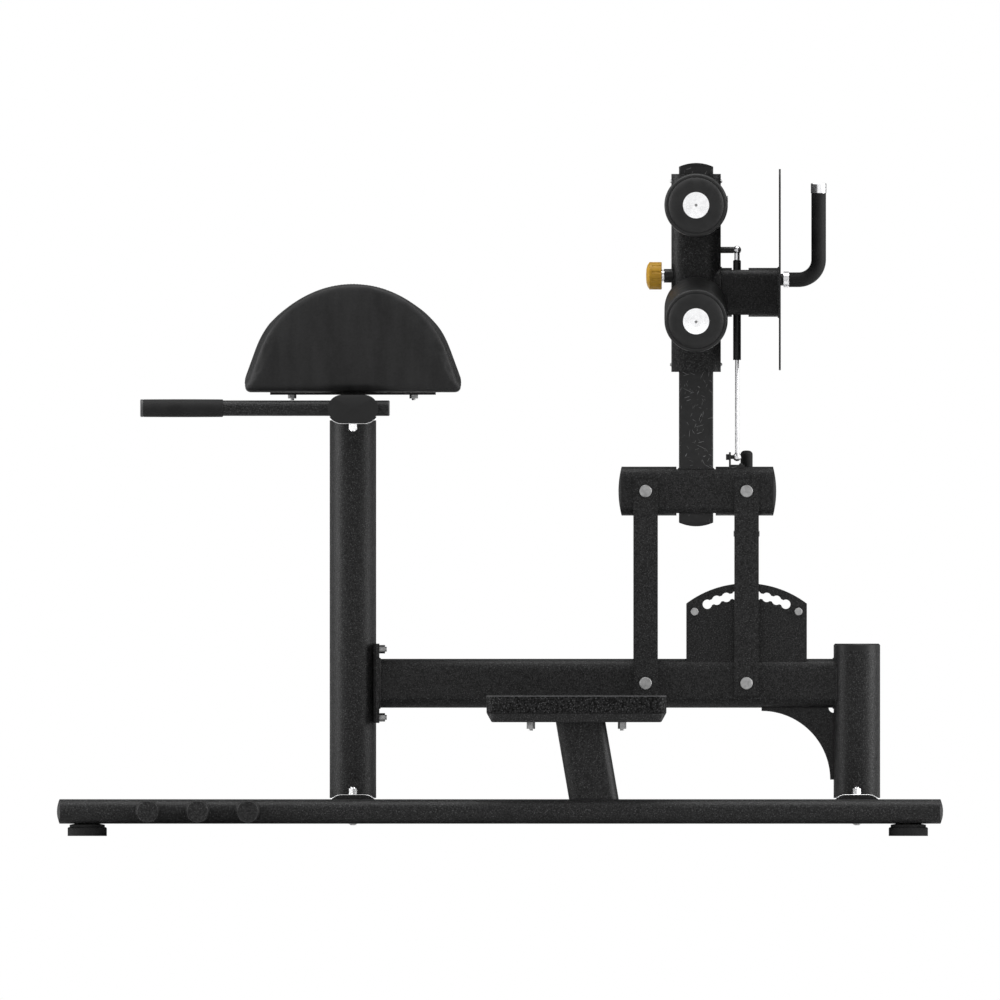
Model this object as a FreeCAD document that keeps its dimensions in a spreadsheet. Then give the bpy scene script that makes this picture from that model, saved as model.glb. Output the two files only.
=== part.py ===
"""Roman chair: a free-standing glute-ham bench with a half-round hip pad and an adjustable ankle carriage.

The row frame has its origin on the floor under the middle of the machine, +Z up and +X along the rails,
from the handlebar end to the footplate end. The left side is -Y, the right side is +Y. Millimetres.
"""
import FreeCAD
import Part
import Sketcher
import math
import os
import re

from FreeCAD import Matrix, Placement, Rotation, Vector

X_AXIS = Vector(1, 0, 0)
Y_AXIS = Vector(0, 1, 0)
Z_AXIS = Vector(0, 0, 1)
SIDES = (("left", -1), ("right", 1))

# Driving dimensions, one spreadsheet cell each.
DIMENSIONS = {
    # stock
    "wall": 3, "oval_wide": 100, "oval_tall": 50, "cap_reach": 8, "cap_long_radius": 196,
    "cap_short_radius": 60, "plug_depth": 15,
    "plug_gap": 0.2, "running_gap": 0.06, "hole_gap": 0.2,
    # base frame
    "rail_length": 1792, "rail_offset": 330, "rail_level": 50,
    "foot_dia": 80, "foot_neck_dia": 76, "foot_ring": 18, "foot_neck_top": 23, "foot_top": 25,
    "foot_front_place": -842, "foot_rear_place": 833,
    "peg_dia": 45, "peg_tip": 495, "peg_middle_place": -617, "peg_pitch": 102, "peg_round": 4,
    "cross_tall": 56, "cross_level": 53, "cross_half_length": 300,
    "saddle_thick": 3, "saddle_half_length": 70, "saddle_lip": 13.5, "saddle_bolt_offset": 58,
    "front_post_place": -300, "rear_post_place": 728, "post_dia": 95,
    "front_post_top": 841.5, "rear_post_top": 377.5, "post_cope": 6.5, "post_cap_tall": 15,
    "post_cap_bevel": 3,
    # saddle bolts: dome head, shank, washer and nut
    "shank_dia": 10, "dome_dia": 18, "dome_tall": 3, "nut_flats": 16, "nut_tall": 13, "stud_tip": 15.5,
    # pad carrier
    "crossbar_tall": 54, "crossbar_level": 871.5, "crossbar_half_length": 310,
    "handle_dia": 31.8, "handle_level": 872.7, "handle_offset": 275, "handle_front": -728,
    "handle_rear": -228, "grip_dia": 36, "grip_length": 163, "handle_plug": 6, "handle_bevel": 1.5,
    "bracket_length": 48, "bracket_half_width": 70, "bracket_bottom": 884,
    "plate_length": 338, "plate_half_width": 230, "plate_bottom": 900, "plate_thick": 5,
    "board_length": 310, "board_half_width": 235, "board_thick": 15,
    "pad_half_width": 270, "pad_radius": 208, "pad_centre": 922, "pad_bottom": 905, "pad_flare": 20,
    "pad_corner": 12, "hex_flats": 15, "hex_tall": 11, "hex_stub": 3.5, "hex_shank": 8,
    "pad_bolt_spread": 124, "pad_bolt_offset": 150,
    # lower beam
    "lower_beam_level": 311.5, "beam_start": -246, "flange_thick": 7, "flange_tall": 162,
    "flange_width": 90, "flange_cradle": 44, "flange_bolt_spread": 139, "flange_hex_tall": 15,
    "gusset_radius": 140, "gusset_corner_level": 115, "gusset_thick": 8, "gusset_length": 147,
    "gusset_notch": 10,
    # steps
    "tread_length": 366, "tread_middle": 156, "tread_bottom": 232, "tread_tall": 55, "tread_width": 160,
    "tread_taper": 10, "tread_seam": 250, "tread_corner": 22, "strut_lean": 9.8, "strut_middle": 178,
    "strut_plate_length": 236, "strut_plate_width": 70, "strut_plate_thick": 6, "step_bolt_spread": 93,
    "step_hex_tall": 17,
    # four-bar linkage
    "pivot_middle": 400, "pivot_spacing": 206, "link_length": 392, "link_width": 50, "link_thick": 8,
    "link_inner_face": 27, "link_round": 4, "pivot_dia": 16, "bush_dia": 22, "bush_half": 26.8,
    "pivot_head_dia": 25, "pivot_head_tall": 7, "pivot_head_round": 1.5, "pivot_head_gap": 0.3,
    "open_pivot_gap": 0.3,
    # notch plates and latch
    "notch_radius": 180, "notch_plate_radius": 204, "notch_plate_half": 123,
    "notch_dia": 19, "notch_channel": 11, "notch_step": 6.6, "notch_inner_face": 12,
    "notch_thick": 5, "notch_bolt_spread": 106, "notch_bolt_level": 457.6, "notch_bolt_dia": 16,
    "notch_bolt_head": 6, "notch_bolt_shank": 10, "notch_foot": 35, "spacer_dia": 25, "spacer_spread": 100.6,
    "spacer_level": 412.5,
    "latch_travel": 14, "latch_thick_dia": 18, "latch_thin_dia": 10, "latch_plane": 62,
    "latch_pivot_level": 616.7, "lever_width": 28, "lever_thick": 8, "latch_collar_dia": 22,
    "latch_collar_thick": 3, "latch_collar_gap": 6.5, "ear_thick": 5, "ear_gap": 1, "ear_tall": 26,
    "latch_axle_dia": 8, "latch_axle_head": 12, "latch_axle_length": 53, "latch_grip_dia": 25,
    "latch_grip_bottom": 722, "latch_grip_top": 787,
    "latch_grip_round": 8, "lever_foot": 12, "boss_dia": 26, "boss_length": 17,
    # upper frame
    "upper_beam_length": 306, "upper_beam_place": 402.6, "upright_bottom": 640,
    "upright_top": 1364.6, "upright_deep": 70, "upright_wide": 30, "upright_round": 4,
    "upright_cap": 8.4, "upright_cap_radius": 84, "upright_slot": 80,
    "pin_hole_pitch": 30, "pin_hole_count": 7,
    # carriage
    "sleeve_bottom": 946.6, "sleeve_length": 404, "sleeve_deep": 101, "sleeve_wide": 56,
    "liner_length": 40, "liner_gap": 0.08, "screw_dia": 8, "screw_head": 3, "screw_inset": 15,
    "clamp_bolt_dia": 12, "clamp_bolt_reach": 14.5, "clamp_bolt_level": 1299,
    "arm_level": 1109, "arm_end": 568.8, "arm_slot_start": 473, "arm_slot_end": 507, "arm_slot_wide": 27,
    "footplate_thick": 4, "footplate_bottom": 950, "footplate_top": 1360.5, "footplate_width": 500,
    "footplate_corner": 30,
    "handle_tube_dia": 24, "foot_grip_dia": 30, "foot_handle_level": 1134.8, "foot_handle_place": 650,
    "foot_bend": 41, "foot_grip_top": 1311.7, "collar_dia": 33, "collar_start": 578.5,
    "collar_end": 589.4, "end_cap_dia": 32, "end_cap_tall": 20, "end_cap_round": 2,
    # gas spring
    "spring_place": 483.5, "spring_dia": 16, "spring_bottom": 971, "spring_top": 1175, "rod_dia": 8,
    "spring_bore": 13, "spring_stud_level": 1195.4, "spring_eye_level": 773,
    "spring_stud_dia": 13, "ball_dia": 17, "spring_neck_dia": 11, "bracket_leg_place": 467,
    "bracket_thick": 4, "bracket_top": 783, "bracket_foot_end": 499, "bracket_width": 24,
    "eye_bolt_dia": 12, "eye_bolt_start": 461, "eye_bolt_end": 477,
    "piston_place": 9,
    # rollers
    "roller_dia": 129, "roller_length": 200, "roller_inner_face": 42, "roller_round": 9,
    "axle_dia": 25, "core_dia": 32, "axle_root": 26, "upper_roller_level": 1286.8,
    "lower_roller_inner_level": 1078,
    "roller_droop": 8, "washer_dia": 53.6, "washer_thick": 6, "washer_gap": 0.4, "hub_disc_dia": 22,
    "hub_disc_thick": 3, "hub_socket_dia": 6,
    # pop pin
    "pop_pin_level": 1142.8, "barrel_dia": 28, "barrel_start": 334.6, "pop_shank_dia": 24,
    "knob_dia": 56, "knob_start": 304, "knob_end": 330, "knob_dome": 6,
    "plunger_dia": 10, "plunger_tip": 364.4, "plunger_round": 1, "pop_mouth_depth": 4.4,
    "knob_flutes": 12, "flute_dia": 8,
}

doc = FreeCAD.newDocument("roman_chair")
sheet = doc.addObject("Spreadsheet::Sheet", "dims")
nodes = {}


def fill_sheet():
    """Write every driving dimension into its own cell, with its alias."""
    for row, (alias, number) in enumerate(DIMENSIONS.items(), start=1):
        sheet.set("A%d" % row, alias.replace("_", " "))
        sheet.set("B%d" % row, str(number))
        sheet.setAlias("B%d" % row, alias)
    doc.recompute()


def size(alias):
    """The number that a cell holds."""
    return float(sheet.get(alias))


def bind(thing, prop, value):
    """Tie a property to the sheet when the value is a formula of cell names, else set the number."""
    if isinstance(value, str):
        names = re.compile(r"[a-z_]+")
        formula = names.sub(lambda word: "dims." + word.group() if word.group() in DIMENSIONS
                            else word.group(), value)
        thing.setExpression(prop, formula)
    else:
        setattr(thing, prop, value)


def facing(run, across=None):
    """A rotation that turns local Z to run and local X to across."""
    if across is None:
        return Rotation(Z_AXIS, run)
    side = run.cross(across)
    return Rotation(Matrix(across.x, side.x, run.x, 0, across.y, side.y, run.y, 0,
                           across.z, side.z, run.z, 0, 0, 0, 0, 1))


def keep(label, thing):
    """Give a finished sub-part its label and put it on the list to export."""
    thing.Label = label
    nodes[label] = thing
    return thing


# Primitives and booleans -------------------------------------------------------------------------

def cylinder(name, diameter, length, base, axis=Z_AXIS):
    thing = doc.addObject("Part::Cylinder", name)
    bind(thing, "Radius", "(%s) / 2" % diameter)
    bind(thing, "Height", length)
    thing.Placement = Placement(base, facing(axis))
    return thing


def cone(name, first, second, length, base, axis=Z_AXIS):
    thing = doc.addObject("Part::Cone", name)
    bind(thing, "Radius1", "(%s) / 2" % first)
    bind(thing, "Radius2", "(%s) / 2" % second)
    bind(thing, "Height", length)
    thing.Placement = Placement(base, facing(axis))
    return thing


def ball(name, diameter, centre):
    thing = doc.addObject("Part::Sphere", name)
    bind(thing, "Radius", "(%s) / 2" % diameter)
    thing.Placement = Placement(centre, Rotation())
    return thing


def block(name, length, width, height, middle):
    """A box whose middle is given; length runs along X, width along Y and height along Z."""
    thing = doc.addObject("Part::Box", name)
    for prop, value in (("Length", length), ("Width", width), ("Height", height)):
        bind(thing, prop, value)
    thing.recompute()
    half = Vector(thing.Length.Value, thing.Width.Value, thing.Height.Value) * 0.5
    thing.Placement = Placement(middle - half, Rotation())
    return thing


def hexagon(name, flats, height, base, axis=Z_AXIS, turn=0):
    thing = doc.addObject("Part::Prism", name)
    thing.Polygon = 6
    bind(thing, "Circumradius", "(%s) / sqrt(3)" % flats)
    bind(thing, "Height", height)
    thing.Placement = Placement(base, facing(axis).multiply(Rotation(Z_AXIS, turn)))
    return thing


def fuse(name, pieces):
    thing = doc.addObject("Part::MultiFuse", name)
    thing.Shapes = pieces
    thing.Refine = True
    return thing


def cut(name, base, tools):
    """Base less every tool."""
    thing = doc.addObject("Part::Cut", name)
    thing.Base = base
    thing.Tool = tools[0] if len(tools) == 1 else fuse(name + "_tools", tools)
    thing.Refine = True
    return thing


def common(name, first, second):
    thing = doc.addObject("Part::Common", name)
    thing.Base = first
    thing.Tool = second
    return thing


def group(name, pieces):
    """Separate solids that share one node."""
    thing = doc.addObject("Part::Compound", name)
    thing.Links = pieces
    return thing


def rounded(name, source, radius, chosen):
    """Round the edges that chosen(edge) picks; radius is the name of a cell."""
    doc.recompute()
    amount = size(radius)
    edges = [(index, amount, amount) for index, edge in enumerate(source.Shape.Edges, start=1)
             if chosen(edge)]
    thing = doc.addObject("Part::Fillet", name)
    thing.Base = source
    thing.Edges = edges
    return thing


# Sketched bodies ---------------------------------------------------------------------------------

def new_body(name):
    return doc.addObject("PartDesign::Body", name + "_body")


def new_sketch(body, name, plane):
    sketch = body.newObject("Sketcher::SketchObject", name + "_sketch")
    for feature in body.Origin.OriginFeatures:
        if feature.Role == plane:
            sketch.AttachmentSupport = [(feature, "")]
    sketch.MapMode = "FlatFace"
    return sketch


def name_constraint(sketch, constraint, name, formula):
    index = sketch.addConstraint(constraint)
    sketch.renameConstraint(index, name)
    bind(sketch, "Constraints." + name, formula)


def draw_flat_oval(sketch, tag, wide, tall, wide_start, tall_start):
    """Two half circles joined by straight sides, centred on the sketch's origin."""
    radius = tall_start / 2
    reach = (wide_start - tall_start) / 2
    first = sketch.GeometryCount
    sketch.addGeometry(Part.LineSegment(Vector(reach, radius, 0), Vector(-reach, radius, 0)))
    left = Part.Circle(Vector(-reach, 0, 0), Z_AXIS, radius)
    sketch.addGeometry(Part.ArcOfCircle(left, math.pi / 2, 3 * math.pi / 2))
    sketch.addGeometry(Part.LineSegment(Vector(-reach, -radius, 0), Vector(reach, -radius, 0)))
    right = Part.Circle(Vector(reach, 0, 0), Z_AXIS, radius)
    sketch.addGeometry(Part.ArcOfCircle(right, -math.pi / 2, math.pi / 2))
    for here, there in ((0, 1), (1, 2), (2, 3), (3, 0)):
        sketch.addConstraint(Sketcher.Constraint("Tangent", first + here, 2, first + there, 1))
    sketch.addConstraint(Sketcher.Constraint("Equal", first + 1, first + 3))
    sketch.addConstraint(Sketcher.Constraint("Symmetric", first + 1, 3, first + 3, 3, -1, 1))
    sketch.addConstraint(Sketcher.Constraint("Horizontal", first))
    spread = Sketcher.Constraint("DistanceX", first + 1, 3, first + 3, 3, 2 * reach)
    name_constraint(sketch, spread, tag + "_spread", "%s - (%s)" % (wide, tall))
    name_constraint(sketch, Sketcher.Constraint("Radius", first + 3, radius), tag + "_round",
                    "(%s) / 2" % tall)


def flat_oval(name, wide, tall, length, middle, run, across, wall=None):
    """A flat-oval bar, or a tube where wall is given, centred on middle and running along run."""
    body = new_body(name)
    sketch = new_sketch(body, name, "XY_Plane")
    wide_now, tall_now = size_of(wide), size_of(tall)
    draw_flat_oval(sketch, "outer", wide, tall, wide_now, tall_now)
    if wall:
        wall_now = size(wall)
        inner_wide, inner_tall = "%s - 2 * %s" % (wide, wall), "%s - 2 * %s" % (tall, wall)
        draw_flat_oval(sketch, "inner", inner_wide, inner_tall, wide_now - 2 * wall_now,
                       tall_now - 2 * wall_now)
    pad = body.newObject("PartDesign::Pad", name + "_pad")
    pad.Profile = sketch
    bind(pad, "Length", length)
    pad.Midplane = True
    body.Placement = Placement(middle, facing(run, across))
    return body


def size_of(formula):
    """The number that a formula of cells comes to, worked out by the document itself."""
    probe = doc.addObject("App::FeaturePython", "probe")
    probe.addProperty("App::PropertyFloat", "Amount")
    bind(probe, "Amount", formula)
    probe.recompute()
    amount = probe.Amount
    doc.removeObject(probe.Name)
    return amount


def draw_outline(sketch, points):
    """A closed polygon whose corners are tied to pairs of formulas."""
    corners = [Vector(size_of(first), size_of(second), 0) for first, second in points]
    count = len(corners)
    for index in range(count):
        sketch.addGeometry(Part.LineSegment(corners[index], corners[(index + 1) % count]))
    for index in range(count):
        link = Sketcher.Constraint("Coincident", index, 2, (index + 1) % count, 1)
        sketch.addConstraint(link)
    for index, (corner, point) in enumerate(zip(corners, points)):
        for axis, kind, amount, formula, line in (("across", "DistanceX", corner.x, point[0], -2),
                                                  ("up", "DistanceY", corner.y, point[1], -1)):
            if abs(amount) < 1e-6:
                sketch.addConstraint(Sketcher.Constraint("PointOnObject", index, 1, line))
            else:
                tie = Sketcher.Constraint(kind, -1, 1, index, 1, amount)
                name_constraint(sketch, tie, "%s_%d" % (axis, index), formula)


def turned(name, points, base, axis=Z_AXIS):
    """A body of revolution; points are (radius, height) formulas and height runs along axis."""
    body = new_body(name)
    sketch = new_sketch(body, name, "XZ_Plane")
    draw_outline(sketch, points)
    turn = body.newObject("PartDesign::Revolution", name + "_turn")
    turn.Profile = sketch
    turn.ReferenceAxis = (sketch, ["V_Axis"])
    turn.Angle = 360
    body.Placement = Placement(base, facing(axis))
    return body


# Shapes that recur ---------------------------------------------------------------------------------

def in_plane(point, normal):
    """Pick edges that lie wholly in the plane through point."""
    def chosen(edge):
        spots = [edge.CenterOfMass] + [vertex.Point for vertex in edge.Vertexes]
        return all(abs((spot - point).dot(normal)) < 0.01 for spot in spots)
    return chosen


def parallel_to(direction):
    """Pick straight edges that run along direction."""
    def chosen(edge):
        if len(edge.Vertexes) < 2 or edge.Curve.TypeId != "Part::GeomLine":
            return False
        run = edge.Vertexes[1].Point - edge.Vertexes[0].Point
        return run.cross(direction).Length < 0.01
    return chosen


def round_tube(name, diameter, length, base, axis=Z_AXIS):
    outer = cylinder(name + "_outer", diameter, length, base, axis)
    inner = cylinder(name + "_inner", "%s - 2 * wall" % diameter, length, base, axis)
    return cut(name, outer, [inner])


def end_cap(name, head, tube, place, run, across):
    """A domed plastic cap on a flat-oval tube; place is the middle of the tube's end, run points out."""
    reach, depth = size("cap_reach"), size("plug_depth")
    slab = flat_oval(name + "_slab", head[0], head[1], "cap_reach", place + run * (reach / 2), run,
                     across)
    dome = slab
    for label, radius, axis in (("long", "cap_long_radius", run.cross(across)),
                                ("short", "cap_short_radius", across)):
        centre = place + run * (reach - size(radius)) - axis * size("oval_wide")
        drum = cylinder(name + "_drum_" + label, "2 * " + radius, "2 * oval_wide", centre, axis)
        dome = common(name + "_dome_" + label, dome, drum)
    inside = ["%s - 2 * wall - plug_gap" % side for side in tube]
    plug = flat_oval(name + "_plug", inside[0], inside[1], "plug_depth", place - run * (depth / 2), run,
                     across)
    return fuse(name, [dome, plug])


def round_plug(name, head_dia, bore_dia, reach, bevel, place, run):
    """A round cap whose plug fills the tube's end and whose bevelled head stands reach proud."""
    rim, bore = "%s / 2" % head_dia, "(%s) / 2" % bore_dia
    points = [("0", "-plug_depth"), (bore, "-plug_depth"), (bore, "0"), (rim, "0"),
              (rim, "%s - %s" % (reach, bevel)), ("%s - %s" % (rim, bevel), reach), ("0", reach)]
    return turned(name, points, place, run)


def bolt_hole(name, diameter, start, axis, length):
    return cylinder(name, "%s + hole_gap" % diameter, length, start, axis)


# Base frame --------------------------------------------------------------------------------------

def rail_middle(sign):
    return Vector(0, sign * size("rail_offset"), size("rail_level"))


def make_rails():
    caps, envelopes = [], []
    half = size("rail_length") / 2
    for side, sign in SIDES:
        middle = rail_middle(sign)
        keep("rail_" + side, flat_oval("rail_" + side, "oval_wide", "oval_tall", "rail_length", middle,
                                       X_AXIS, Y_AXIS, "wall"))
        envelopes.append(flat_oval("rail_space_" + side, "oval_wide", "oval_tall", "rail_length", middle,
                                   X_AXIS, Y_AXIS))
        for end, run in (("front", -X_AXIS), ("rear", X_AXIS)):
            caps.append(end_cap("rail_cap_%s_%s" % (side, end), ("oval_wide", "oval_tall"),
                                ("oval_wide", "oval_tall"), middle + run * half, run, Y_AXIS))
    return envelopes, caps


def make_feet():
    profile = [("0", "0"), ("foot_dia / 2", "0"), ("foot_dia / 2", "foot_ring - 2"),
               ("foot_dia / 2 - 2", "foot_ring"), ("foot_neck_dia / 2 - 2", "foot_ring"),
               ("foot_neck_dia / 2 - 2", "foot_neck_top"), ("foot_neck_dia / 3", "foot_top"),
               ("0", "foot_top")]
    feet = []
    for side, sign in SIDES:
        for end in ("front", "rear"):
            place = Vector(size("foot_%s_place" % end), sign * size("rail_offset"), 0)
            feet.append(turned("foot_%s_%s" % (side, end), profile, place))
    keep("rubber_feet", group("rubber_feet", feet))


def make_band_pegs(rails):
    """Pegs for elastic bands: closed tubes that stand out from the rails' outer sides."""
    pegs = []
    length = size("peg_tip") - size("rail_offset")
    for (side, sign), rail in zip(SIDES, rails):
        out = Y_AXIS * sign
        for step in (-1, 0, 1):
            name = "peg_%s_%d" % (side, step + 2)
            place = size("peg_middle_place") + step * size("peg_pitch")
            base = rail_middle(sign) + X_AXIS * place
            solid = cylinder(name + "_solid", "peg_dia", "peg_tip - rail_offset", base, out)
            soft = rounded(name + "_soft", solid, "peg_round", in_plane(base + out * length, out))
            hollow = cylinder(name + "_hollow", "peg_dia - 2 * wall", "peg_tip - rail_offset - 2 * wall",
                              base, out)
            pegs.append(cut(name, soft, [hollow, rail]))
    keep("band_pegs", group("band_pegs", pegs))


def post_places():
    return (("front", size("front_post_place")), ("rear", size("rear_post_place")))


def saddle_space(name, tall, middle):
    """All that a saddle plate and the tube in it fill."""
    return flat_oval(name, "oval_wide + 2 * saddle_thick", "%s + 2 * saddle_thick" % tall,
                     "2 * saddle_half_length", middle, Y_AXIS, X_AXIS)


def saddle(name, tall, middle, upward):
    """A bent plate that hugs a flat-oval tube; upward is 1 on top of the tube and -1 under it."""
    length = "2 * saddle_half_length"
    skin = saddle_space(name + "_skin", tall, middle)
    tube = flat_oval(name + "_space", "oval_wide", tall, length, middle, Y_AXIS, X_AXIS)
    face = size(tall) / 2 + size("saddle_thick")
    window = block(name + "_window", "oval_wide + 4 * saddle_thick", length, "saddle_lip",
                   middle + Z_AXIS * (upward * (face - size("saddle_lip") / 2)))
    return common(name, cut(name + "_shell", skin, [tube]), window)


def saddle_bolt(name, head_place, nut_place, up):
    """A dome-head bolt with its nut; up points from the head to the nut."""
    grip = (nut_place - head_place).dot(up)
    shank = cylinder(name + "_shank", "shank_dia", grip + size("stud_tip"), head_place, up)
    head = cone(name + "_head", "dome_dia", "dome_dia / 2", "dome_tall", head_place, up * -1)
    nut = hexagon(name + "_nut", "nut_flats", "nut_tall", nut_place, up, 30)
    return fuse(name, [shank, head, nut])


def make_cross_tubes(rails):
    """The two closed tubes under the posts, their saddles, and the bolts that hold the posts' feet."""
    tubes, saddles, bolts = [], [], []
    level, half = size("cross_level"), size("cross_tall") / 2
    top = level + half + size("saddle_thick")
    for name, place in post_places():
        middle = Vector(place, 0, level)
        tube = flat_oval("cross_%s_tube" % name, "oval_wide", "cross_tall", "2 * cross_half_length",
                         middle, Y_AXIS, X_AXIS, "wall")
        plate = saddle("saddle_%s_whole" % name, "cross_tall", middle, 1)
        holes, stops = [], []
        for side, sign in SIDES:
            end = middle + Y_AXIS * (sign * (size("cross_half_length") - size("wall") / 2))
            stops.append(flat_oval("cross_stop_%s_%s" % (name, side), "oval_wide", "cross_tall", "wall",
                                   end, Y_AXIS, X_AXIS))
            spot = Vector(place, sign * size("saddle_bolt_offset"), 0)
            holes.append(bolt_hole("cross_hole_%s_%s" % (name, side), "shank_dia", spot, Z_AXIS, top))
            bolts.append(saddle_bolt("foot_bolt_%s_%s" % (name, side), spot + Z_AXIS * (level - half),
                                     spot + Z_AXIS * top, Z_AXIS))
        closed = fuse("cross_%s_closed" % name, [tube] + stops)
        tubes.append(cut("cross_%s" % name, closed, rails + holes))
        saddles.append(cut("saddle_%s" % name, plate, holes))
    keep("base_cross_tubes", group("base_cross_tubes", tubes))
    return saddles, bolts, top


def make_posts(foot_level):
    """Both round posts; returns their outer envelopes and the rear post's cap."""
    spaces = {}
    for name, place in post_places():
        base = Vector(place, 0, foot_level - size("post_cope"))
        length = size(name + "_post_top") - base.z
        ends = [saddle_space("%s_post_foot" % name, "cross_tall", Vector(place, 0, size("cross_level")))]
        if name == "front":
            length += size("post_cope")
            ends += [saddle_space("front_post_head", "crossbar_tall", crossbar_middle())] + flange_holes()
        tube = round_tube("%s_post_tube" % name, "post_dia", length, base)
        spaces[name] = cylinder("%s_post_space" % name, "post_dia", length, base)
        keep(name + "_post", cut(name + "_post", tube, ends))
    top = Vector(size("rear_post_place"), 0, size("rear_post_top"))
    bore = "post_dia - 2 * wall - plug_gap"
    cap = round_plug("rear_post_cap", "post_dia", bore, "post_cap_tall", "post_cap_bevel", top, Z_AXIS)
    return spaces, cap


# Pad carrier -------------------------------------------------------------------------------------

def crossbar_space(name):
    return flat_oval(name, "oval_wide", "crossbar_tall", "2 * crossbar_half_length", crossbar_middle(),
                     Y_AXIS, X_AXIS)


def crossbar_middle():
    return Vector(size("front_post_place"), 0, size("crossbar_level"))


def make_crossbar():
    """The tube that carries pad and handlebars, its lower saddle, saddle bolts and end caps."""
    middle = crossbar_middle()
    half = size("crossbar_tall") / 2
    tube = flat_oval("crossbar_tube", "oval_wide", "crossbar_tall", "2 * crossbar_half_length", middle,
                     Y_AXIS, X_AXIS, "wall")
    plate = saddle("saddle_top_whole", "crossbar_tall", middle, -1)
    holes, bolts, bars, caps = [], [], [], []
    inside = middle.z - half + size("wall")
    under = middle.z - half - size("saddle_thick")
    for side, sign in SIDES:
        spot = Vector(middle.x, sign * size("saddle_bolt_offset"), 0)
        holes.append(bolt_hole("crossbar_hole_" + side, "shank_dia", spot + Z_AXIS * under, Z_AXIS, half))
        bolts.append(saddle_bolt("crossbar_bolt_" + side, spot + Z_AXIS * inside, spot + Z_AXIS * under,
                                 Z_AXIS * -1))
        bars.append(handle_solid("crossbar_bar_space_" + side, sign))
        run = Y_AXIS * sign
        caps.append(end_cap("crossbar_cap_" + side, ("oval_wide + wall", "crossbar_tall + wall"),
                            ("oval_wide", "crossbar_tall"), middle + run * size("crossbar_half_length"),
                            run, X_AXIS))
    keep("pad_crossbar", cut("pad_crossbar", tube, holes + bars))
    return cut("saddle_top", plate, holes), bolts, caps


def handle_base(sign, place):
    return Vector(place, sign * size("handle_offset"), size("handle_level"))


def handle_solid(name, sign):
    return cylinder(name, "handle_dia", "handle_rear - handle_front",
                    handle_base(sign, size("handle_front")), X_AXIS)


def make_handlebars():
    bars, grips, plugs = [], [], []
    bore = "handle_dia - 2 * wall - plug_gap"
    for side, sign in SIDES:
        front = handle_base(sign, size("handle_front"))
        bars.append(round_tube("handlebar_" + side, "handle_dia", "handle_rear - handle_front", front,
                               X_AXIS))
        sleeve = cylinder("grip_sleeve_" + side, "grip_dia", "grip_length", front, X_AXIS)
        grips.append(cut("grip_" + side, sleeve, [handle_solid("grip_core_" + side, sign)]))
        plugs.append(round_plug("handle_cap_" + side, "grip_dia", bore, "handle_plug", "handle_bevel",
                                front, X_AXIS * -1))
        plugs.append(round_plug("handle_stop_" + side, "handle_dia", bore, "handle_plug / 2",
                                "handle_bevel", handle_base(sign, size("handle_rear")), X_AXIS))
    keep("handlebars", group("handlebars", bars))
    keep("handle_grips", group("handle_grips", grips))
    keep("handle_end_plugs", group("handle_end_plugs", plugs))


def hex_bolt(name, flats, tall, shank_length, base, up, shank="hex_shank"):
    """A nut under base, with the end of its stud below it and the shank going up."""
    nut = hexagon(name + "_head", flats, "%s - hex_stub" % tall, base, up * -1)
    stub = cylinder(name + "_stub", shank, tall, base, up * -1)
    return fuse(name, [nut, stub, cylinder(name + "_shank", shank, shank_length, base, up)])


def make_pad():
    """The cradle on the crossbar, steel plate, plywood board and half-round cushion, and the bolts."""
    place = size("front_post_place")
    middle = Vector(place, 0, size("plate_bottom"))
    thick, board_thick = size("plate_thick"), size("board_thick")
    tall = size("plate_bottom") - size("bracket_bottom")
    cradle = block("pad_cradle", "bracket_length", "2 * bracket_half_width",
                   "plate_bottom - bracket_bottom", middle - Z_AXIS * (tall / 2))
    keep("pad_bracket", cut("pad_bracket", cradle, [crossbar_space("cradle_space")]))
    plate = block("pad_plate_blank", "plate_length", "2 * plate_half_width", "plate_thick",
                  middle + Z_AXIS * (thick / 2))
    deck = middle + Z_AXIS * thick
    board = block("pad_board_blank", "board_length", "2 * board_half_width", "board_thick",
                  deck + Z_AXIS * (board_thick / 2))
    holes, bolts = [], []
    for across in (-1, 1):
        for side, sign in SIDES:
            spot = middle + Vector(across * size("pad_bolt_spread"), sign * size("pad_bolt_offset"), 0)
            name = "%s_%s" % (side, "front" if across < 0 else "rear")
            reach = thick + board_thick - 2
            holes.append(bolt_hole("pad_hole_" + name, "hex_shank", spot, Z_AXIS, reach))
            bolts.append(hex_bolt("pad_bolt_" + name, "hex_flats", "hex_tall", reach, spot, Z_AXIS))
    keep("pad_base_plate", cut("pad_base_plate", plate, holes))
    keep("pad_board", cut("pad_board", board, holes))
    keep("hip_pad", cut("hip_pad", cushion(place), [board]))
    return bolts


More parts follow.
